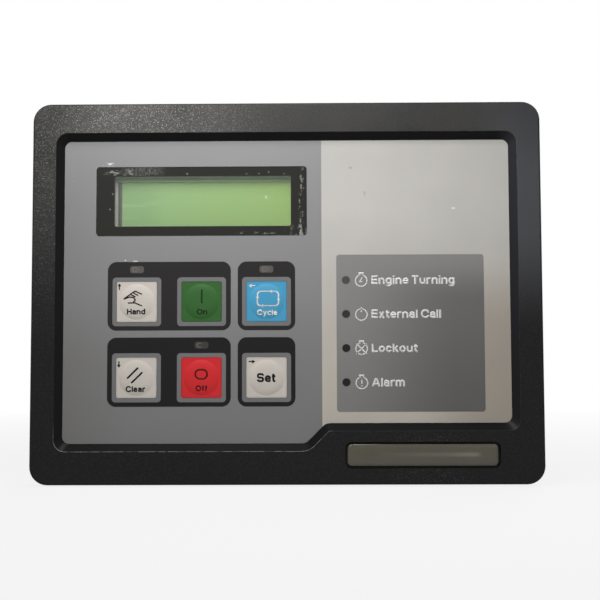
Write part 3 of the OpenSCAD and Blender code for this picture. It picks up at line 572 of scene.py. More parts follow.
def printed_keys(shader, x, z, film, sizes, colours):
    """Black groups, key frames and lamp windows. Returns the film and the mask of the groups."""
    rise = (sizes.group_up - sizes.group_down) / 2 / MM
    half_h = (sizes.group_up + sizes.group_down) / 2 / MM
    row = ((KEY_MID.z + rise - z) / KEY_PITCH_Z).nearest(0, 1)
    column = ((x - KEY_MID.x) / KEY_PITCH_X).nearest(-1, 1)
    key_x = x - KEY_MID.x - column * KEY_PITCH_X
    key_z = z - KEY_MID.z + row * KEY_PITCH_Z

    # One group round the first two columns, one round the third
    margin = sizes.group_left / MM
    corner = sizes.group_r / MM
    pair_x = x - (KEY_MID.x - KEY_PITCH_X / 2)
    pair = shader.rounded(pair_x, key_z - rise, KEY_PITCH_X / 2 + margin, half_h, corner)
    single = shader.rounded(x - KEY_MID.x - KEY_PITCH_X, key_z - rise, margin - 0.2, half_h, corner)
    group = shader.inside(pair.math("MINIMUM", single))
    # Painted shade: the black of the lower row is darker than that of the upper row
    film = shader.mix(group, film, shader.mix(row, tone(colours.group, 1.1), tone(colours.group, 0.45)))
    frame_half = sizes.frame_w / 2 / MM
    key_frame = shader.rounded(key_x, key_z, frame_half, frame_half, sizes.frame_r / MM)
    film = shader.mix(shader.inside(key_frame), film, colours.key_frame)

    # Lamp windows over three of the keys, each with the pale edge of its lamp
    lit = 1 - abs(abs(column) + row - 1)
    lamp_z = key_z - sizes.led_rise / MM
    window = shader.rounded(key_x, lamp_z, sizes.led_w / 2 / MM, sizes.led_h / 2 / MM, LAMP_R)
    lamp = shader.inside(window) * lit
    core = shader.inside(shader.rounded(key_x, lamp_z, *LAMP_CORE), 0.4)
    rim = shader.inside(shader.rounded(key_x, lamp_z, *LAMP_RIM), 0.3)
    crescent = rim * (1 - core) * key_x.fall(-0.8, 0.9)
    glow = shader.inside(shader.rounded(key_x - 0.3, lamp_z, *LAMP_GLOW), 0.6) * (1 - row)
    film = shader.mix(lamp, film, shader.mix(row, colours.lamp, tone(colours.lamp, 0.5)))
    film = shader.mix(lamp * crescent * 0.5, film, tone(colours.lamp, 2.4))
    film = shader.mix(lamp * glow * 0.35, film, tone(colours.lamp, 1.8))
    return film, group


def lens_crust(shader, x, z):
    """Dried residue over the upper left corner of the lens."""
    low, high = box_mm("display_lens")
    past = x - (low.x - FACE.x)
    over = z - (high.z - FACE.z)
    crust = past.band((2.0, 3.0), (6.0, 7.5)) * over.band((0.3, 0.7), (1.5, 2.2))
    return crust * shader.noise(0.9, 3.0, stretch=(0.6, 1, 1.3)).ramp(0.48, 0.6)


def key_film(name, base, node):
    """Film of one key's colour, a little darker towards its edge."""
    shader, x, _, z, half = shader_on(name, node)
    edge = shader.rounded(x, z, half.x, half.z, PAD_R).ramp(-0.9, 0.0)
    rough, fine, smudge, fleck = film_wear(shader)
    film = shader.mix((smudge - 0.5) * 0.6 + 0.3, tone(base, 1.05), tone(base, 0.88))
    film = shader.mix(edge * 0.35, film, tone(base, 0.7))
    film = shader.mix(fleck * 0.3, film, tone(base, 1.5))
    return shader.finish(
        Base_Color=film, Roughness=rough - 0.04, Specular_IOR_Level=0.18, Normal=shader.bump(fine, 0.006))


def ink(name, base):
    """Screen-printed ink, thin enough to let a little unevenness through."""
    shader = Shader(name)
    patch = shader.noise(1.6, 3.0)
    film = shader.mottle(patch, base, 0.9, 1.12, high=0.8)
    return shader.finish(Base_Color=film, Roughness=0.45 + patch * 0.1, Specular_IOR_Level=0.15)


def lens_plastic(sizes):
    """Glossy lens with a black printed border and a clear window, marked along its edges."""
    shader, x, _, z, _ = shader_on("lens_plastic", "display_lens")
    x = x - sizes.window_dx / MM
    half_w = sizes.window_w / 2 / MM
    half_h = sizes.window_h / 2 / MM
    window = shader.inside(shader.rounded(x, z, half_w, half_h, CLEAR_R))
    residue = lens_residue(shader, x, z, half_w, half_h)
    scratch = shader.noise(0.9, 2.0, stretch=(0.12, 1, 2.5)).ramp(0.74, 0.8)
    dust = shader.noise(1.4, 1.0).ramp(0.78, 0.82)
    veil = residue * 0.8 + scratch * 0.03 + dust * 0.3
    film = shader.mix(window, LENS_BORDER, LENS_CLEAR)
    film = shader.mix(residue * 0.6 + dust * 0.25, film, RESIDUE)
    return shader.finish(
        Base_Color=film,
        Roughness=0.16 + veil * 0.4,
        Specular_IOR_Level=0.22,
        Alpha=1 - window * (0.95 - veil * 0.6),
    )


def lens_residue(shader, x, z, half_w, half_h):
    """Dried residue round the window: top left, right border, lower right corner, bottom, single flecks."""
    left = x + half_w
    right = x - half_w
    above = z - half_h
    below = z + half_h
    smear = left.band((-5.5, -2), (5, 8)) * above.band((0.3, 0.9), (2.2, 3.0))
    haze = left.band((2, 5), (16, 21)) * above.ramp(0.2, 0.8)
    chain = right.band((2.9, 3.6), (4.7, 5.3))
    corner = right.ramp(-4, 3) * below.fall(-2.0, 1.5)
    line = right.band((-22, -19), (-8, -5)) * below.band((-3.4, -2.9), (-2.6, -2.1))
    crumbs = shader.noise(1.3, 4.0)
    flakes = shader.noise(1.0, 4.0, stretch=(0.5, 1, 1.6))
    chips = shader.noise(0.75, 4.0, stretch=(1.5, 1, 0.7))
    residue = flakes.ramp(0.48, 0.64) * smear * 0.7 + crumbs.ramp(0.35, 0.7) * haze * 0.28
    residue = residue + chips.ramp(0.53, 0.64) * (chain * 0.5 + corner * 0.3)
    residue = residue + flakes.ramp(0.48, 0.6) * line * 0.5
    return residue + shader.marks(x, z, LENS_FLECKS) * 0.55


def display_film(colours):
    """Display glass under its polariser, darker and streaked towards its left end, with a dark seal there."""
    shader, x, _, _, half = shader_on("display_film", "lcd_glass")
    from_left = x + half.x
    cool = colours.display_cool
    warm = colours.display_warm
    cloud = shader.noise(0.05, 3.0)
    streak = shader.noise(0.5, 2.0, stretch=(0.05, 1, 1))
    grain = shader.noise(5.0, 1.0)
    left_end = from_left.fall(6, 22)
    shift = from_left / (half.x * 2)
    film = shader.mix(shift.math("ADD", (cloud - 0.5) * 0.5, clamp=True), cool, warm)
    film = shader.mix(left_end * 0.45, film, tone(cool, 0.74))
    film = shader.mix(streak.ramp(0.45, 0.65) * (left_end * 0.35 + 0.05), film, tone(cool, 0.82))
    film = shader.mix(streak.fall(0.3, 0.48) * left_end * 0.6, film, PALE_STREAK)
    film = shader.mix(grain.ramp(0.4, 0.8) * 0.1, film, tone(warm, 1.2))
    film = shader.mix(from_left.fall(0.9, 1.15), film, GLASS_SEAL)
    return shader.finish(
        Base_Color=film,
        Roughness=0.4 + cloud * 0.1,
        Specular_IOR_Level=0.3,
        Normal=shader.bump(grain, 0.004),
    )


def display_frame(colours):
    """Black metal frame with a painted reflection of the display's green round its opening, and a pale strip at
    its left.
    """
    shader, x, _, z, half = shader_on("display_frame", "lcd_glass")
    away = shader.rounded(x, z, half.x, half.z, OPENING_R)
    strip = (x + half.x).band((-2.4, -2.2), (-0.95, -0.8)) * z.ramp(0, 1)
    patch = shader.noise(0.2, 2.0)
    film = shader.mottle(patch, colours.group, 0.7, 1.0)
    # Painted reflection: the display's green on the frame round its opening
    film = shader.mix(away.fall(0.0, 3.2) * 0.95, film, tone(colours.display_cool, 1.25))
    film = shader.mix(strip * 0.9, film, PALE_STRIP)
    return shader.finish(Base_Color=film, Roughness=0.45 + patch * 0.1, Specular_IOR_Level=0.3)


def backlight_diffuser():
    """Pale diffuser with a dark seal beside the glass."""
    glass_left = box_mm("lcd_glass")[0].x
    shader = Shader("backlight_diffuser", (glass_left, 0, 0))
    x, _, _ = shader.axes()
    seal = x.band((-0.85, -0.55), (0.0, 0.1))
    patch = shader.noise(0.4, 2.0)
    film = shader.mix(patch.ramp(0.3, 0.7), DIFFUSER_DARK, DIFFUSER_PALE)
    film = shader.mix(seal * 0.95, film, DIFFUSER_SEAL)
    return shader.finish(Base_Color=film, Roughness=0.45 + patch * 0.1)


def badge_resin(colours):
    """Clear domed resin over an olive-grey foil, lightly scratched, with painted shade round its rim and a painted
    highlight across its middle.
    """
    shader, x, _, z, half = shader_on("badge_resin", "name_badge")
    rim = shader.rounded(x, z, half.x, half.z, BADGE_R).ramp(-1.7, -0.1)
    highlight_streak = abs(z - 0.2).fall(0.1, 1.3) * (x.ramp(-22, 12) + x.ramp(8, 18)) * 0.5 * x.fall(20, 23)
    foil = shader.noise(0.08, 3.0)
    scratch = shader.noise(1.2, 2.0, stretch=(0.15, 1, 1)).ramp(0.62, 0.72)
    film = shader.mottle(foil, colours.badge, 0.9, 1.12)
    film = shader.mix(z.fall(-2.6, -0.6) * 0.45, film, FOIL_SHADE)
    # Painted highlight: a lighter streak across the middle, brightest towards the right
    film = shader.mix(highlight_streak * 0.75, film, BADGE_HIGHLIGHT)
    # Painted shade: the foil darker round the rim, where the dome falls away
    film = shader.mix(rim * 0.6, film, tone(colours.badge, 0.45))
    film = shader.mix(scratch * 0.15, film, tone(colours.badge, 1.8))
    return shader.finish(
        Base_Color=film,
        Roughness=0.3 + scratch * 0.15,
        Specular_IOR_Level=0.2,
        Coat_Weight=0.9,
        Coat_Roughness=0.05,
        Normal=shader.bump(shader.noise(0.25, 1.0), 0.02),
    )


def satin(name, base, rough=0.4):
    """Smooth plastic or coating with a faint mottle."""
    shader = Shader(name)
    patch = shader.noise(0.8, 3.0)
    film = shader.mottle(patch, base, 0.88, 1.1)
    rough = rough + (patch - 0.5) * 0.15
    return shader.finish(Base_Color=film, Roughness=rough, Normal=shader.bump(patch, 0.01))


def metal(name, base, rough=0.3):
    """Plated or drawn metal with fine streaks."""
    shader = Shader(name)
    streak = shader.noise(2.0, 3.0, stretch=(1, 4, 1))
    film = shader.mottle(streak, base, 0.82, 1.0)
    rough = rough + (streak - 0.5) * 0.2
    relief = shader.bump(streak, 0.006)
    return shader.finish(Base_Color=film, Metallic=1.0, Roughness=rough, Normal=relief)


def solder_resist(name):
    """Green board with the faint relief of its tracks."""
    shader = Shader(name)
    _, _, z = shader.axes()
    lane = abs((z * 0.7).math("SINE")).ramp(0.75, 0.85) * shader.noise(0.08, 1.0).ramp(0.45, 0.5)
    film = shader.mix(lane, RESIST, TRACK)
    return shader.finish(Base_Color=film, Roughness=0.35 + lane * 0.1, Normal=shader.bump(lane, 0.03))


# Meshes

def user_settings(context):
    """Sizes of the print and colours of the finishes."""
    scene = context.scene
    return scene.controller_print, scene.controller_colours


def add_piece(name, mesh, body):
    """Object of a finished mesh that rides on a body."""
    piece = bpy.data.objects.new(name, mesh)
    bpy.context.scene.collection.objects.link(piece)
    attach(piece, body)
    return piece


def dress(node, material):
    """Gives a solid its finish."""
    mesh = frame["nodes"][node].data
    mesh.materials.clear()
    mesh.materials.append(material)


def polish(node, name, body, material, angle=32.0):
    """Smooth-shaded copy that stands for a solid with rounded faces."""
    mesh = frame["nodes"][node].data.copy()
    work = bmesh.new()
    work.from_mesh(mesh)
    bmesh.ops.remove_doubles(work, verts=work.verts, dist=WELD * MM)
    limit = math.radians(FLAT_DEGREES)
    bmesh.ops.dissolve_limit(work, angle_limit=limit, verts=work.verts, edges=work.edges)
    work.to_mesh(mesh)
    work.free()
    mesh.materials.clear()
    mesh.materials.append(material)
    mesh.shade_smooth()
    even_normals(mesh, angle)
    piece = add_piece(name, mesh, body)
    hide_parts(node)
    return piece


def even_normals(mesh, angle):
    """Normal of each corner from the faces round it that turn by less than an angle, by their area."""
    limit = math.cos(math.radians(angle))
    faces = [(face.normal.copy(), face.area, list(face.vertices)) for face in mesh.polygons]
    around = [[] for _ in mesh.vertices]
    for normal, area, corners in faces:
        for corner in corners:
            around[corner].append((normal, area))
    normals = []
    for normal, _, corners in faces:
        for corner in corners:
            near = [other * area for other, area in around[corner] if other.dot(normal) > limit]
            normals.append(sum(near, Vector()).normalized())
    mesh.normals_split_custom_set(normals)


def new_tree(name, **inputs):
    """Geometry tree with named inputs and a material. Returns it, its inputs and its end node."""
    tree = bpy.data.node_groups.new(name, "GeometryNodeTree")
    tree.interface.new_socket("Geometry", in_out="INPUT", socket_type="NodeSocketGeometry")
    for label, kind in {**inputs, "Material": "Material"}.items():
        tree.interface.new_socket(label, in_out="INPUT", socket_type="NodeSocket" + kind)
    tree.interface.new_socket("Geometry", in_out="OUTPUT", socket_type="NodeSocketGeometry")
    start = tree.nodes.new("NodeGroupInput")
    return tree, start.outputs, tree.nodes.new("NodeGroupOutput")


def geo(tree, kind, sockets, **values):
    """One geometry node by the end of its type's name: its settings, then its sockets."""
    made = tree.nodes.new("GeometryNode" + kind)
    for key, value in values.items():
        setattr(made, key, value)
    for key, value in sockets.items():
        if isinstance(value, bpy.types.NodeSocket):
            tree.links.new(value, made.inputs[key])
        else:
            made.inputs[key].default_value = value
    return made.outputs[0]


def end_tree(tree, given, end, shape):
    """Real geometry with its material, as every tree here ends."""
    real = geo(tree, "RealizeInstances", {0: shape})
    inked = geo(tree, "SetMaterial", {"Geometry": real, "Material": given["Material"]})
    tree.links.new(inked, end.inputs[0])
    return tree


def stroke_tree():
    """Flat strokes of one width along paths. Each point holds the radius of its corner."""
    tree, given, end = new_tree("Print strokes", Width="Float", Thickness="Float")
    corner = geo(tree, "InputNamedAttribute", {"Name": "corner"}, data_type="FLOAT")
    path = geo(tree, "MeshToCurve", {0: given["Geometry"]})
    rounding = {"Curve": path, "Count": CORNER_STEPS, "Radius": corner, "Limit Radius": True}
    path = geo(tree, "FilletCurve", rounding, mode="POLY")
    path = geo(tree, "SetCurveNormal", {"Curve": path}, mode="Z_UP")
    size = {"Width": given["Width"], "Height": given["Thickness"]}
    section = geo(tree, "CurvePrimitiveQuadrilateral", size)
    shape = geo(tree, "CurveToMesh", {"Curve": path, "Profile Curve": section, "Fill Caps": True})
    return end_tree(tree, given, end, shape)


def rib_tree():
    """Row of equal ribs."""
    tree, given, end = new_tree("Row of ribs", Count="Int", First="Vector", Pitch="Vector", Size="Vector")
    places = {"Count": given["Count"], "Start Location": given["First"], "Offset": given["Pitch"]}
    row = geo(tree, "MeshLine", places, mode="OFFSET")
    rib = geo(tree, "MeshCube", {"Size": given["Size"]})
    shape = geo(tree, "InstanceOnPoints", {"Points": row, "Instance": rib})
    return end_tree(tree, given, end, shape)


def thread_tree():
    """Thread crests in the bores of a rectangular pattern of inserts."""
    tree, given, end = new_tree(
        "Insert threads", Radius="Float", Crest="Float", Turns="Int",
        Pitch="Vector", Across="Float", Up="Float")
    round_bore = {"Resolution": TURN_STEPS, "Radius": given["Radius"]}
    turn = geo(tree, "CurvePrimitiveCircle", round_bore, mode="RADIUS")
    round_crest = {"Resolution": CREST_SIDES, "Radius": given["Crest"]}
    section = geo(tree, "CurvePrimitiveCircle", round_crest, mode="RADIUS")
    turn = geo(tree, "CurveToMesh", {"Curve": turn, "Profile Curve": section})
    stack = geo(tree, "MeshLine", {"Count": given["Turns"], "Offset": given["Pitch"]}, mode="OFFSET")
    bore = geo(tree, "InstanceOnPoints", {"Points": stack, "Instance": turn})
    pattern = {"Size X": given["Across"], "Size Y": given["Up"], "Vertices X": 2, "Vertices Y": 2}
    corners = geo(tree, "MeshGrid", pattern)
    shape = geo(tree, "InstanceOnPoints", {"Points": corners, "Instance": bore})
    return end_tree(tree, given, end, shape)


def grow(tree, mesh, values):
    """Plain mesh that a geometry tree makes from a mesh and named values."""
    carrier = bpy.data.objects.new("carrier", mesh)
    bpy.context.scene.collection.objects.link(carrier)
    modifier = carrier.modifiers.new("tree", "NODES")
    modifier.node_group = tree
    sockets = {item.name: item.identifier for item in tree.interface.items_tree if item.in_out == "INPUT"}
    for label, value in values.items():
        modifier[sockets[label]] = value
    grown = carrier.evaluated_get(bpy.context.evaluated_depsgraph_get())
    result = bpy.data.meshes.new_from_object(grown)
    carrier.modifiers.remove(modifier)
    bpy.data.objects.remove(carrier)
    bpy.data.meshes.remove(mesh)
    return result


class Stroke:
    """Path of points in the plane of the face, with one corner radius."""

    def __init__(self, points, corner=0.0, closed=False):
        self.points = points
        self.corner = corner
        self.closed = closed

    def placed(self, x, z, scale):
        points = [(x + scale * across, z + scale * up) for across, up in self.points]
        return Stroke(points, self.corner * scale, self.closed)


# Letters as strokes. All lengths are shares of a capital's height

STEM = 0.18
SMALL = 0.75
GAP = 0.14
SPACE = 0.42
HALF = STEM / 2
BASE_LINE = HALF
SMALL_LINE = SMALL - HALF
TOP_LINE = 1 - HALF


def stem(x, low, high):
    return Stroke([(x, low), (x, high)])


def slant(start, end):
    return Stroke([start, end])


def bar(left, right, z):
    return Stroke([(left, z), (right, z)])


def ring(width, top, corner):
    """Closed round form from the base line to a given top line."""
    right = width - HALF
    return Stroke([(HALF, BASE_LINE), (right, BASE_LINE), (right, top), (HALF, top)], corner, True)


def arch(left, right):
    return Stroke([(left, 0.35), (left, SMALL_LINE), (right, SMALL_LINE), (right, 0)], 0.24)


def hook(width, top, corner, open_top, open_low):
    """Round form that is open to the right."""
    right = width - HALF
    return Stroke([
        (right, open_top), (right, top), (HALF, top),
        (HALF, BASE_LINE), (right, BASE_LINE), (right, open_low),
    ], corner)


# Width and strokes of each letter that the print uses
LETTERS = {
    "A": (0.94, [slant((0.09, 0), (0.44, 0.98)), slant((0.85, 0), (0.50, 0.98)), bar(0.2, 0.74, 0.28)]),
    "C": (0.92, [hook(0.92, TOP_LINE, 0.38, 0.66, 0.34)]),
    "E": (0.72, [
        stem(HALF, 0, 1), bar(0, 0.72, TOP_LINE), bar(0, 0.67, 0.51), bar(0, 0.72, BASE_LINE)]),
    "H": (0.84, [stem(HALF, 0, 1), stem(0.75, 0, 1), bar(0, 0.84, 0.51)]),
    "L": (0.68, [stem(HALF, 0, 1), bar(0, 0.68, BASE_LINE)]),
    "O": (1.00, [ring(1.00, TOP_LINE, 0.40)]),
    "S": (0.80, [Stroke([
        (0.71, 0.72), (0.71, TOP_LINE), (HALF, TOP_LINE), (HALF, 0.5), (0.71, 0.5), (0.71, BASE_LINE),
        (HALF, BASE_LINE), (HALF, 0.28)], 0.205)]),
    "T": (0.78, [stem(0.39, 0, 1), bar(0, 0.78, TOP_LINE)]),
    "a": (0.64, [
        Stroke([(0.12, 0.52), (0.12, SMALL_LINE), (0.54, SMALL_LINE), (0.54, 0)], 0.2),
        Stroke([(0.54, 0.41), (HALF, 0.41), (HALF, BASE_LINE), (0.54, BASE_LINE)], 0.15)]),
    "c": (0.64, [hook(0.64, SMALL_LINE, 0.24, 0.5, 0.25)]),
    "d": (0.70, [stem(0.61, 0, 1), ring(0.70, SMALL_LINE, 0.24)]),
    "e": (0.66, [hook(0.66, SMALL_LINE, 0.24, 0.36, 0.22), bar(HALF, 0.66, 0.38)]),
    "f": (0.40, [
        Stroke([(0.17, 0), (0.17, TOP_LINE), (0.40, TOP_LINE)], 0.14), bar(0, 0.38, SMALL_LINE)]),
    "g": (0.70, [
        ring(0.70, SMALL_LINE, 0.24),
        Stroke([(0.61, SMALL), (0.61, -0.19), (HALF, -0.19), (HALF, -0.08)], 0.2)]),
    "i": (STEM, [stem(HALF, 0, SMALL), stem(HALF, 0.86, 1.02)]),
    "k": (0.66, [stem(HALF, 0, 1), slant((0.12, 0.28), (0.58, 0.75)), slant((0.27, 0.46), (0.6, 0))]),
    "l": (STEM, [stem(HALF, 0, 1)]),
    "m": (1.06, [stem(HALF, 0, SMALL), arch(HALF, 0.53), arch(0.53, 0.97)]),
    "n": (0.70, [stem(HALF, 0, SMALL), arch(HALF, 0.61)]),
    "o": (0.72, [ring(0.72, SMALL_LINE, 0.27)]),
    "r": (0.46, [
        stem(HALF, 0, SMALL), Stroke([(HALF, 0.35), (HALF, SMALL_LINE), (0.46, SMALL_LINE)], 0.22)]),
    "t": (0.42, [
        Stroke([(0.18, 0.95), (0.18, BASE_LINE), (0.42, BASE_LINE)], 0.12), bar(0, 0.42, SMALL_LINE)]),
    "u": (0.70, [
        stem(0.61, 0, SMALL),
        Stroke([(HALF, SMALL), (HALF, BASE_LINE), (0.61, BASE_LINE), (0.61, 0.4)], 0.24)]),
    "x": (0.66, [slant((0.1, 0), (0.56, SMALL)), slant((0.1, SMALL), (0.56, 0))]),
    "y": (0.68, [
        slant((0.08, SMALL), (0.36, 0.06)),
        Stroke([(0.60, SMALL), (0.31, -0.19), (0.06, -0.19)], 0.12)]),
}


class Artwork:
    """Ink in millimetres about one point of the face, laid on the film as one thin mesh."""

    # Centre of a symbol, thickness of the ink, its lift off the film, step between crossing strokes,
    # number of such levels, weight of words, spacing of the cuts, power of the crown's curve, and
    # length, overlap, line and head of an arrow
    origin = (0, 0)
    thickness = 0.02
    lift = 0.006
    step = 0.002
    levels = 5
    weight = 1.35
    cut = 0.8
    crown_power = 4
    arrow_size = 2.6
    arrow_overlap = 0.1
    arrow_line = 0.45
    arrow_head = (1.2, 0.75)

    def __init__(self, material, tree):
        self.material = material
        self.tree = tree
        self.work = bmesh.new()

    def add(self, mesh):
        self.work.from_mesh(mesh)
        bpy.data.meshes.remove(mesh)

    def word(self, text, left, base, cap):
        """A word from its left end, with its capitals of a given height."""
        strokes = []
        for sign in text:
            if sign == " ":
                left += (SPACE - GAP) * cap
                continue
            width, parts = LETTERS[sign]
            strokes += [part.placed(left, base, cap) for part in parts]
            left += (width + GAP) * cap
        self.strokes(strokes, STEM * cap * self.weight)

    def middle_word(self, text, centre, base, cap):
        """A word about the middle of a key."""
        width = sum(LETTERS[sign][0] for sign in text) + GAP * (len(text) - 1)
        self.word(text, centre - width * cap / 2, base, cap)

    def lines(self, paths, width, corner=0.0, closed=False):
        """Lines of one width along paths about the origin."""
        self.strokes([Stroke(path, corner, closed).placed(*self.origin, 1) for path in paths], width)

    def strokes(self, strokes, width):
        """Ink of one width along a set of strokes, at levels that keep crossing strokes apart."""
        points, edges, corners = [], [], []
        for index, stroke in enumerate(strokes):
            first = len(points)
            level = index % self.levels * self.step
            points += [(*point, level) for point in stroke.points]
            corners += [stroke.corner] * len(stroke.points)
            edges += [(i, i + 1) for i in range(first, len(points) - 1)]
            if stroke.closed:
                edges.append((len(points) - 1, first))
        mesh = bpy.data.meshes.new("paths")
        mesh.from_pydata(points, edges, [])
        mesh.attributes.new("corner", "FLOAT", "POINT").data.foreach_set("value", corners)
        self.add(grow(self.tree, mesh, {
            "Width": width, "Thickness": self.thickness, "Material": self.material}))

    def patch(self, points):
        """Filled outline."""
        face = self.work.faces.new([self.work.verts.new((*point, -self.thickness / 2)) for point in points])
        made = bmesh.ops.extrude_face_region(self.work, geom=[face])["geom"]
        raised = [item for item in made if isinstance(item, bmesh.types.BMVert)]
        bmesh.ops.translate(self.work, verts=raised, vec=(0, 0, self.thickness))

    def head(self, tip, way, reach, half):
        """Filled head of an arrow. Returns the middle of its back."""
        way = Vector(way)
        side = Vector((-way.y, way.x)) * half
        back = Vector(tip) - way * reach
        self.patch([Vector(tip), back + side, back - side])
        return back

    def arrow(self, tip, way):
        """Short arrow that ends at its tip."""
        neck = self.head(tip, way, *self.arrow_head)
        way = Vector(way)
        stem_end = Vector(tip) - way * self.arrow_size
        self.lines([[neck + way * self.arrow_overlap, stem_end]], self.arrow_line)

    def circle(self, centre, radius, width, start=0, sweep=360, count=32):
        turns = [math.radians(start + sweep * i / count) for i in range(count + (sweep < 360))]
        path = [(centre[0] + radius * math.cos(a), centre[1] + radius * math.sin(a)) for a in turns]
        self.lines([path], width, closed=sweep == 360)

    def lay(self, name, body, centre, crown_r=0.0):
        """Bends the ink over a key's crown and makes it a piece of the face."""
        work = self.work
        if crown_r:
            for axis in (Vector((1, 0, 0)), Vector((0, 1, 0))):
                steps = int(KEY_W / self.cut / 2)
                for step in range(-steps, steps + 1):
                    parts = work.verts[:] + work.edges[:] + work.faces[:]
                    bmesh.ops.bisect_plane(work, geom=parts, plane_co=axis * step * self.cut, plane_no=axis)
        for vertex in work.verts:
            x, z, height = vertex.co
            height += self.thickness / 2 + self.lift
            if crown_r:
                height += KEY_RISE * (1 - min(1.0, math.hypot(x, z) / crown_r) ** self.crown_power)
            vertex.co = Vector((centre.x + x, FILM_Y - height, centre.z + z)) * MM
        bmesh.ops.recalc_face_normals(work, faces=work.faces)
        mesh = bpy.data.meshes.new(name)
        work.to_mesh(mesh)
        work.free()
        mesh.materials.clear()
        mesh.materials.append(self.material)
        return add_piece(name, mesh, body)


# Symbols and words of the keys, in millimetres from a key's centre

def draw_manual(art):
    art.arrow((-6.85, 7.3), (0, 1))
    art.middle_word("Hand", -0.2, -4.9, 2.15)
    art.lines([[(-5.1, 1.05), (-0.65, 4.2), (2.1, 2.9)]], 0.5, 0.6)
    art.lines([[(-1.5, 3.6), (0.55, 2.45)], [(-2.4, 2.95), (-0.45, 1.85)]], 0.5)
    art.lines([[(-5.1, 1.05), (-2.75, 1.85), (-1.3, 1.7), (-0.45, 0.7), (-1.35, -0.25)]], 0.5, 0.4)
    art.lines([[(-3.45, -0.5), (-0.65, -0.45), (2.15, -1.65)]], 0.5, 0.6)


def draw_start(art):
    art.lines([[(0.1, 4.7), (0.1, -0.7)]], 0.55)
    art.middle_word("On", 0.2, -5.0, 2.15)


def draw_auto(art):
    art.arrow((-7.0, 6.15), (-1, 0))
    left, right, top, low = -3.5, 4.75, 3.8, -1.85
    art.lines([[(left, low), (right, low), (right, top), (left, top)]], 0.56, 1.3, closed=True)
    heads = (((2.9, top), (1, 0)), ((right, -0.3), (0, -1)), ((-2.5, low), (-1, 0)), ((left, 2.5), (0, 1)))
    for tip, way in heads:
        art.head(tip, way, 1.2, 0.7)
    art.middle_word("Cycle", 0.3, -5.45, 2.15)


def draw_reset(art):
    art.arrow((-6.85, 3.9), (0, -1))
    art.lines([[(-3.5, -0.27), (0.7, 3.92)], [(-1.9, -2.0), (2.45, 2.15)]], 0.7)
    art.middle_word("Clear", -0.25, -5.45, 2.2)


def draw_stop(art):
    art.lines([[(-2.35, -0.45), (2.3, -0.45), (2.3, 3.15), (-2.35, 3.15)]], 0.64, 1.75, closed=True)
    art.middle_word("Off", 0.05, -5.15, 2.15)


def draw_ok(art):
    art.arrow((-4.4, 6.2), (1, 0))
    art.middle_word("Set", -0.1, -1.7, 3.3)


KEY_DRAWINGS = {
    "manual": draw_manual, "start": draw_start, "auto": draw_auto,
    "reset": draw_reset, "stop": draw_stop, "ok": draw_ok,
}


# Symbols of the status lamps, in millimetres from the symbol's centre

# Centre, radius and line of the ring that they share
SYMBOL_RING = ((0, -0.3), 2.25, 0.5)


def draw_pot(art):
    """Round body with an open neck that widens to its rim."""
    art.circle(*SYMBOL_RING, start=106, sweep=328)
    art.lines([[(-0.6, 1.8), (-1.0, 2.75), (1.0, 2.75), (0.6, 1.8)]], 0.5, 0.12)


def draw_running(art):
    draw_pot(art)
    art.lines([[(0.45, 1.15), (-0.65, -0.75)], [(-0.95, -0.65), (0.3, -0.65)]], 0.42)


def draw_remote(art):
    art.circle(*SYMBOL_RING)
    art.lines([[(0, 0.8), (0, 2.7)]], 0.5)


def draw_shutdown(art):
    draw_pot(art)
    art.lines([[(-2.0, -2.3), (2.0, 1.7)], [(-2.0, 1.7), (2.0, -2.3)]], 0.5)


def draw_alarm(art):
    draw_pot(art)
    art.lines([[(0, 1.05), (0, -0.6)], [(0, -1.1), (0, -1.6)]], 0.5)


STATUS_ROWS = (
    (draw_running, "Engine Turning"), (draw_remote, "External Call"),
    (draw_shutdown, "Lockout"), (draw_alarm, "Alarm"),
)
STATUS_SYMBOL_X = 29.3
STATUS_WORD_X = 33.3
STATUS_CAP = 3.3


# Operators

class CONTROLLER_OT_housing(bpy.types.Operator):
    """Finishes the moulded bezel and the rear cover"""
    bl_idname = "controller.housing"
    bl_label = "Housing"

    def execute(self, context):
        colours = context.scene.controller_colours
        polish("front_housing", "bezel", BODY, bezel_plastic(colours))
        polish("rear_cover", "cover_shell", BODY, moulded("cover_plastic", colours.cover))
        return {"FINISHED"}


class CONTROLLER_OT_membrane(bpy.types.Operator):
    """Prints the overlay and colours the six keys"""
    bl_idname = "controller.membrane"
    bl_label = "Membrane"

    def execute(self, context):
        sizes, colours = user_settings(context)
        dress("graphic_overlay", overlay_film(sizes, colours))
        for key, tint in KEY_TINTS.items():
            node = key + "_key"
            film = key_film(key + "_film", getattr(colours, tint), node)
            polish(node, key + "_pad", node, film)
        dress("dome_spacer", satin("spacer_film", (0.78, 0.75, 0.67)))
        dress("keypad_circuit", satin("circuit_film", (0.58, 0.55, 0.46)))
        spring = metal("dome_steel", (0.6, 0.6, 0.6))
        for joint in frame["joints"]:
            add_spring(joint, spring)
        return {"FINISHED"}


def add_spring(joint, material):
    """Snap dome of one key, as a smooth-shaded copy with a mesh of its own."""
    key = joint["child"].removesuffix("_key")
    node = key + "_snap_dome"
    dome = polish(node, key + "_spring", BODY, material, DOME_DEGREES)
    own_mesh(dome)


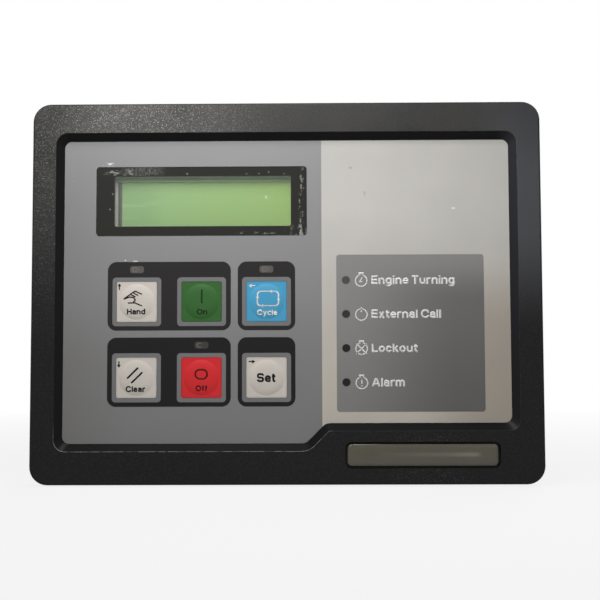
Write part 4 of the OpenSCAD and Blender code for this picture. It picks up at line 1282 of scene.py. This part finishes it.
class CONTROLLER_OT_legends(bpy.types.Operator):
    """Lays the symbols and words on the keys and the status panel"""
    bl_idname = "controller.legends"
    bl_label = "Legends"

    def execute(self, context):
        sizes, colours = user_settings(context)
        strokes = stroke_tree()
        inks = {
            "dark": ink("ink_dark", (0.005, 0.0045, 0.004)),
            "white": ink("ink_white", (0.80, 0.79, 0.76)),
            "green": ink("ink_green", tone(colours.key_green, 0.13)),
            "red": ink("ink_red", tone(colours.key_red, 0.09)),
        }
        for key, draw in KEY_DRAWINGS.items():
            art = Artwork(inks[KEY_INKS.get(key, "dark")], strokes)
            draw(art)
            node = key + "_key"
            art.lay(key + "_legend", node, middle(node), sizes.crown_d / 2 / MM)
        art = Artwork(inks["white"], strokes)
        for row, (draw, word) in enumerate(STATUS_ROWS):
            z = LED_TOP - row * LED_PITCH
            art.origin = (STATUS_SYMBOL_X, z)
            draw(art)
            art.word(word, STATUS_WORD_X, z - STATUS_CAP / 2, STATUS_CAP)
        art.lay("status_legend", BODY, FACE)
        return {"FINISHED"}


class CONTROLLER_OT_display(bpy.types.Operator):
    """Finishes the lens and the display behind it"""
    bl_idname = "controller.display"
    bl_label = "Display"

    def execute(self, context):
        sizes, colours = user_settings(context)
        dress("display_lens", lens_plastic(sizes))
        # No shadow of the lens's border, so that light reaches the display up to its frame
        frame["nodes"]["display_lens"].visible_shadow = False
        dress("lcd_glass", display_film(colours))
        dress("lcd_frame", display_frame(colours))
        dress("lcd_backlight", backlight_diffuser())
        dress("lcd_board", solder_resist("display_board"))
        return {"FINISHED"}


class CONTROLLER_OT_indicators(bpy.types.Operator):
    """Finishes the lamps behind the overlay"""
    bl_idname = "controller.indicators"
    bl_label = "Indicators"

    def execute(self, context):
        colours = context.scene.controller_colours
        dress("key_leds", satin("key_lamp", colours.lamp, 0.25))
        dress("status_leds", satin("status_lamp", tone(colours.group, 2.5), 0.2))
        return {"FINISHED"}


class CONTROLLER_OT_badge(bpy.types.Operator):
    """Finishes the domed badge"""
    bl_idname = "controller.badge"
    bl_label = "Badge"

    def execute(self, context):
        resin = badge_resin(context.scene.controller_colours)
        polish("name_badge", "badge_dome", BODY, resin, DOME_DEGREES)
        return {"FINISHED"}


# Solid, finish, linear colour and roughness of the plain components
SATIN_PARTS = (
    ("tail_connector", "connector_ivory", (0.78, 0.74, 0.64), 0.4),
    ("microcontroller", "chip_black", (0.012, 0.012, 0.013), 0.5),
    ("relays", "relay_blue", (0.014, 0.03, 0.12), 0.25),
    ("capacitors", "capacitor_sleeve", (0.02, 0.03, 0.06), 0.3),
    ("power_inductor", "ferrite", (0.035, 0.03, 0.028), 0.6),
    ("sensing_transformers", "transformer_black", (0.02, 0.02, 0.02), 0.45),
)

# Header, number of its ways and their pitch
HEADER_WAYS = (("input", 12, 5.08), ("output", 8, 5.08), ("sensing", 4, 7.62))


class CONTROLLER_OT_electronics(bpy.types.Operator):
    """Finishes the boards, their components and the wiring headers"""
    bl_idname = "controller.electronics"
    bl_label = "Electronics"

    def execute(self, context):
        nylon = satin("nylon_white", (0.72, 0.70, 0.64), 0.45)
        for node in ("lcd_standoffs", "key_led_spacers", "status_led_spacers"):
            dress(node, nylon)
        dress("main_board", solder_resist("main_board_resist"))
        for node, name, base, rough in SATIN_PARTS:
            dress(node, satin(name, base, rough))
        black = moulded("header_black", (0.014, 0.014, 0.014), grain=3.0, depth=0.01, rough=0.4)
        green = moulded("header_green", (0.05, 0.27, 0.08), grain=3.0, depth=0.01, rough=0.4)
        dress("lcd_header", black)
        dress("harness_header", black)
        gold = metal("contact_gold", (0.75, 0.52, 0.2), 0.28)
        for name in ("lcd", "input", "output", "sensing", "harness"):
            dress(name + "_pins", gold)
        ribs = rib_tree()
        for name, ways, pitch in HEADER_WAYS:
            dress(name + "_header", green)
            add_ribs(ribs, name, ways, pitch, green)
        return {"FINISHED"}


def add_ribs(tree, name, ways, pitch, material, inset=1.15, rib=(1.2, 6.0, 0.3), drop=2.0):
    """Guide ribs inside one wall of a header, one for each way."""
    low, high = box_mm(name + "_header")
    inner = low.z + inset + rib[2] / 2
    first = Vector(((low.x + high.x - (ways - 1) * pitch) / 2, high.y - drop - rib[1] / 2, inner))
    mesh = grow(tree, bpy.data.meshes.new("seed"), {
        "Count": ways, "First": first * MM, "Pitch": Vector((pitch, 0, 0)) * MM,
        "Size": Vector(rib) * MM, "Material": material})
    add_piece(name + "_ribs", mesh, BODY)


class CONTROLLER_OT_fixings(bpy.types.Operator):
    """Finishes the screws, the gasket and the threaded inserts"""
    bl_idname = "controller.fixings"
    bl_label = "Fixings"

    def execute(self, context):
        zinc = metal("zinc", (0.55, 0.56, 0.58), 0.35)
        dress("board_screws", zinc)
        polish("cover_screws", "cover_screw_set", BODY, zinc)
        dress("panel_gasket", moulded("gasket_rubber", (0.012, 0.012, 0.012), 2.0, 0.06, 0.85))
        brass = metal("insert_brass", (0.58, 0.4, 0.14), 0.32)
        polish("panel_inserts", "insert_set", BODY, brass)
        add_threads(brass)
        return {"FINISHED"}


def add_threads(material, turns=10, pitch=0.7, crest=0.14, seat=0.02):
    """Thread crests in the bores of the inserts, in the pattern that the record states."""
    mounts = frame["record"]["mounts"]
    bore = next(mount for mount in mounts if mount["name"] == "panel_bolts")["dims"]
    mesh = grow(thread_tree(), bpy.data.meshes.new("seed"), {
        "Radius": (bore["hole_r_mm"] + seat) * MM, "Crest": crest * MM, "Turns": turns,
        "Pitch": (0, 0, pitch * MM), "Across": bore["spacing_x_mm"] * MM,
        "Up": bore["spacing_y_mm"] * MM, "Material": material})
    start = Vector((0, box_mm("panel_inserts")[1].y - pitch, 0)) * MM
    mesh.transform(Matrix.Translation(start) @ Matrix.Rotation(math.radians(90), 4, "X"))
    mesh.shade_smooth()
    add_piece("insert_threads", mesh, BODY)


class CONTROLLER_OT_stage(bpy.types.Operator):
    """Sets the floor, the room, the lamps and the camera"""
    bl_idname = "controller.stage"
    bl_label = "Stage"

    def execute(self, context):
        stage = context.scene.controller_stage
        add_floor()
        light_room(context.scene, stage.room)
        add_lamp("key_lamp", (-0.03, -0.155, 0.19), (0, 0, 0.02), 0.16, stage.key_power)
        add_lamp("left_lamp", (-0.2, -0.75, 0.31), (-0.07, 0, 0.06), 0.09, stage.sheen_power)
        right_power = stage.sheen_power * RIGHT_SHARE
        add_lamp("right_lamp", (0.25, -0.75, 0.16), (0.09, 0, 0.03), 0.09, right_power)
        add_lamp("rear_lamp", (0.4, 0.7, 0.5), (0, 0, 0), 0.6, stage.rear_power)
        camera = bpy.data.cameras.new("camera")
        camera.lens = stage.lens
        camera.sensor_width = 36
        place = bpy.data.objects.new("camera", camera)
        context.scene.collection.objects.link(place)
        pitch, roll, yaw = stage.aim
        turn = (Matrix.Rotation(yaw, 4, "Z") @ Matrix.Rotation(pitch, 4, "X") @ Matrix.Rotation(roll, 4, "Y")
                @ Matrix.Rotation(math.radians(90), 4, "X"))
        place.matrix_world = Matrix.Translation(stage.camera) @ turn
        context.scene.camera = place
        context.scene.view_settings.view_transform = "Standard"
        return {"FINISHED"}


def camera_share(tree):
    """1 on rays that show the background directly, in a mirror or through glass."""
    path = tree.nodes.new("ShaderNodeLightPath")
    share = path.outputs["Is Camera Ray"]
    for label in ("Is Glossy Ray", "Is Transmission Ray"):
        larger = tree.nodes.new("ShaderNodeMath")
        larger.operation = "MAXIMUM"
        tree.links.new(share, larger.inputs[0])
        tree.links.new(path.outputs[label], larger.inputs[1])
        share = larger.outputs[0]
    return share


def add_floor(half=3.0, gap=0.2, white=0.85, near=250, far=1100):
    """Pale floor just under the object. It is lightened for the camera and keeps its shadow."""
    level = CAD_BOX[0][2] - gap * MM
    mesh = bpy.data.meshes.new("floor")
    corners = [(-half, -half, level), (half, -half, level), (half, half, level), (-half, half, level)]
    mesh.from_pydata(corners, [], [(0, 1, 2, 3)])
    shader = Shader("floor_paint")
    away = shader.node("VectorMath", {"operation": "LENGTH"}, {0: shader.place}, out="Value")
    fade = shader.node("MapRange", None, {0: away, 1: near, 2: far, 3: white, 4: 1.0})
    share = Wire(shader, camera_share(shader.tree)) * fade
    paint = shader.surface(Base_Color=(0.4, 0.4, 0.4), Roughness=0.9)
    glow = shader.node("Emission")
    mesh.materials.append(shader.finish_pair(share, paint, glow))
    floor = bpy.data.objects.new("floor", mesh)
    bpy.context.scene.collection.objects.link(floor)


def light_room(scene, strength):
    """Soft light from all sides. The camera sees white."""
    world = bpy.data.worlds.new("room")
    world.use_nodes = True
    tree = world.node_tree
    background = tree.nodes["Background"]
    background.inputs["Color"].default_value = (1, 1, 1, 1)
    level = tree.nodes.new("ShaderNodeMapRange")
    level.inputs["To Min"].default_value = strength
    level.inputs["To Max"].default_value = 1.0
    tree.links.new(camera_share(tree), level.inputs["Value"])
    tree.links.new(level.outputs[0], background.inputs["Strength"])
    scene.world = world


def add_lamp(name, place, target, size, watts):
    """Square soft lamp that faces a point."""
    lamp = bpy.data.lights.new(name, "AREA")
    lamp.size = size
    lamp.energy = watts
    holder = bpy.data.objects.new(name, lamp)
    holder.location = place
    holder.rotation_euler = (Vector(target) - Vector(place)).to_track_quat("-Z", "Y").to_euler()
    bpy.context.scene.collection.objects.link(holder)


class CONTROLLER_PT_sidebar(bpy.types.Panel):
    """Lists the controller's steps"""
    bl_idname = "CONTROLLER_PT_sidebar"
    bl_label = "Controller"
    bl_space_type = "VIEW_3D"
    bl_region_type = "UI"
    bl_category = "Controller"

    def draw(self, context):
        for step in STEPS:
            self.layout.operator(step.bl_idname)


GROUPS = {
    "controller_print": ControllerPrint,
    "controller_colours": ControllerColours,
    "controller_stage": ControllerStage,
}
STEPS = (
    CONTROLLER_OT_housing, CONTROLLER_OT_membrane, CONTROLLER_OT_legends, CONTROLLER_OT_display,
    CONTROLLER_OT_indicators, CONTROLLER_OT_badge, CONTROLLER_OT_electronics, CONTROLLER_OT_fixings,
    CONTROLLER_OT_stage,
)
CLASSES = (*GROUPS.values(), *STEPS, CONTROLLER_PT_sidebar)


def register():
    for item in CLASSES:
        bpy.utils.register_class(item)
    for name, group in GROUPS.items():
        setattr(bpy.types.Scene, name, PointerProperty(type=group))


def unregister():
    for name in GROUPS:
        delattr(bpy.types.Scene, name)
    for item in reversed(CLASSES):
        bpy.utils.unregister_class(item)


def main():
    register()
    bpy.ops.controller.housing()
    bpy.ops.controller.membrane()
    bpy.ops.controller.legends()
    bpy.ops.controller.display()
    bpy.ops.controller.indicators()
    bpy.ops.controller.badge()
    bpy.ops.controller.electronics()
    bpy.ops.controller.fixings()
    bpy.ops.controller.stage()


if __name__ == "__main__":
    main()
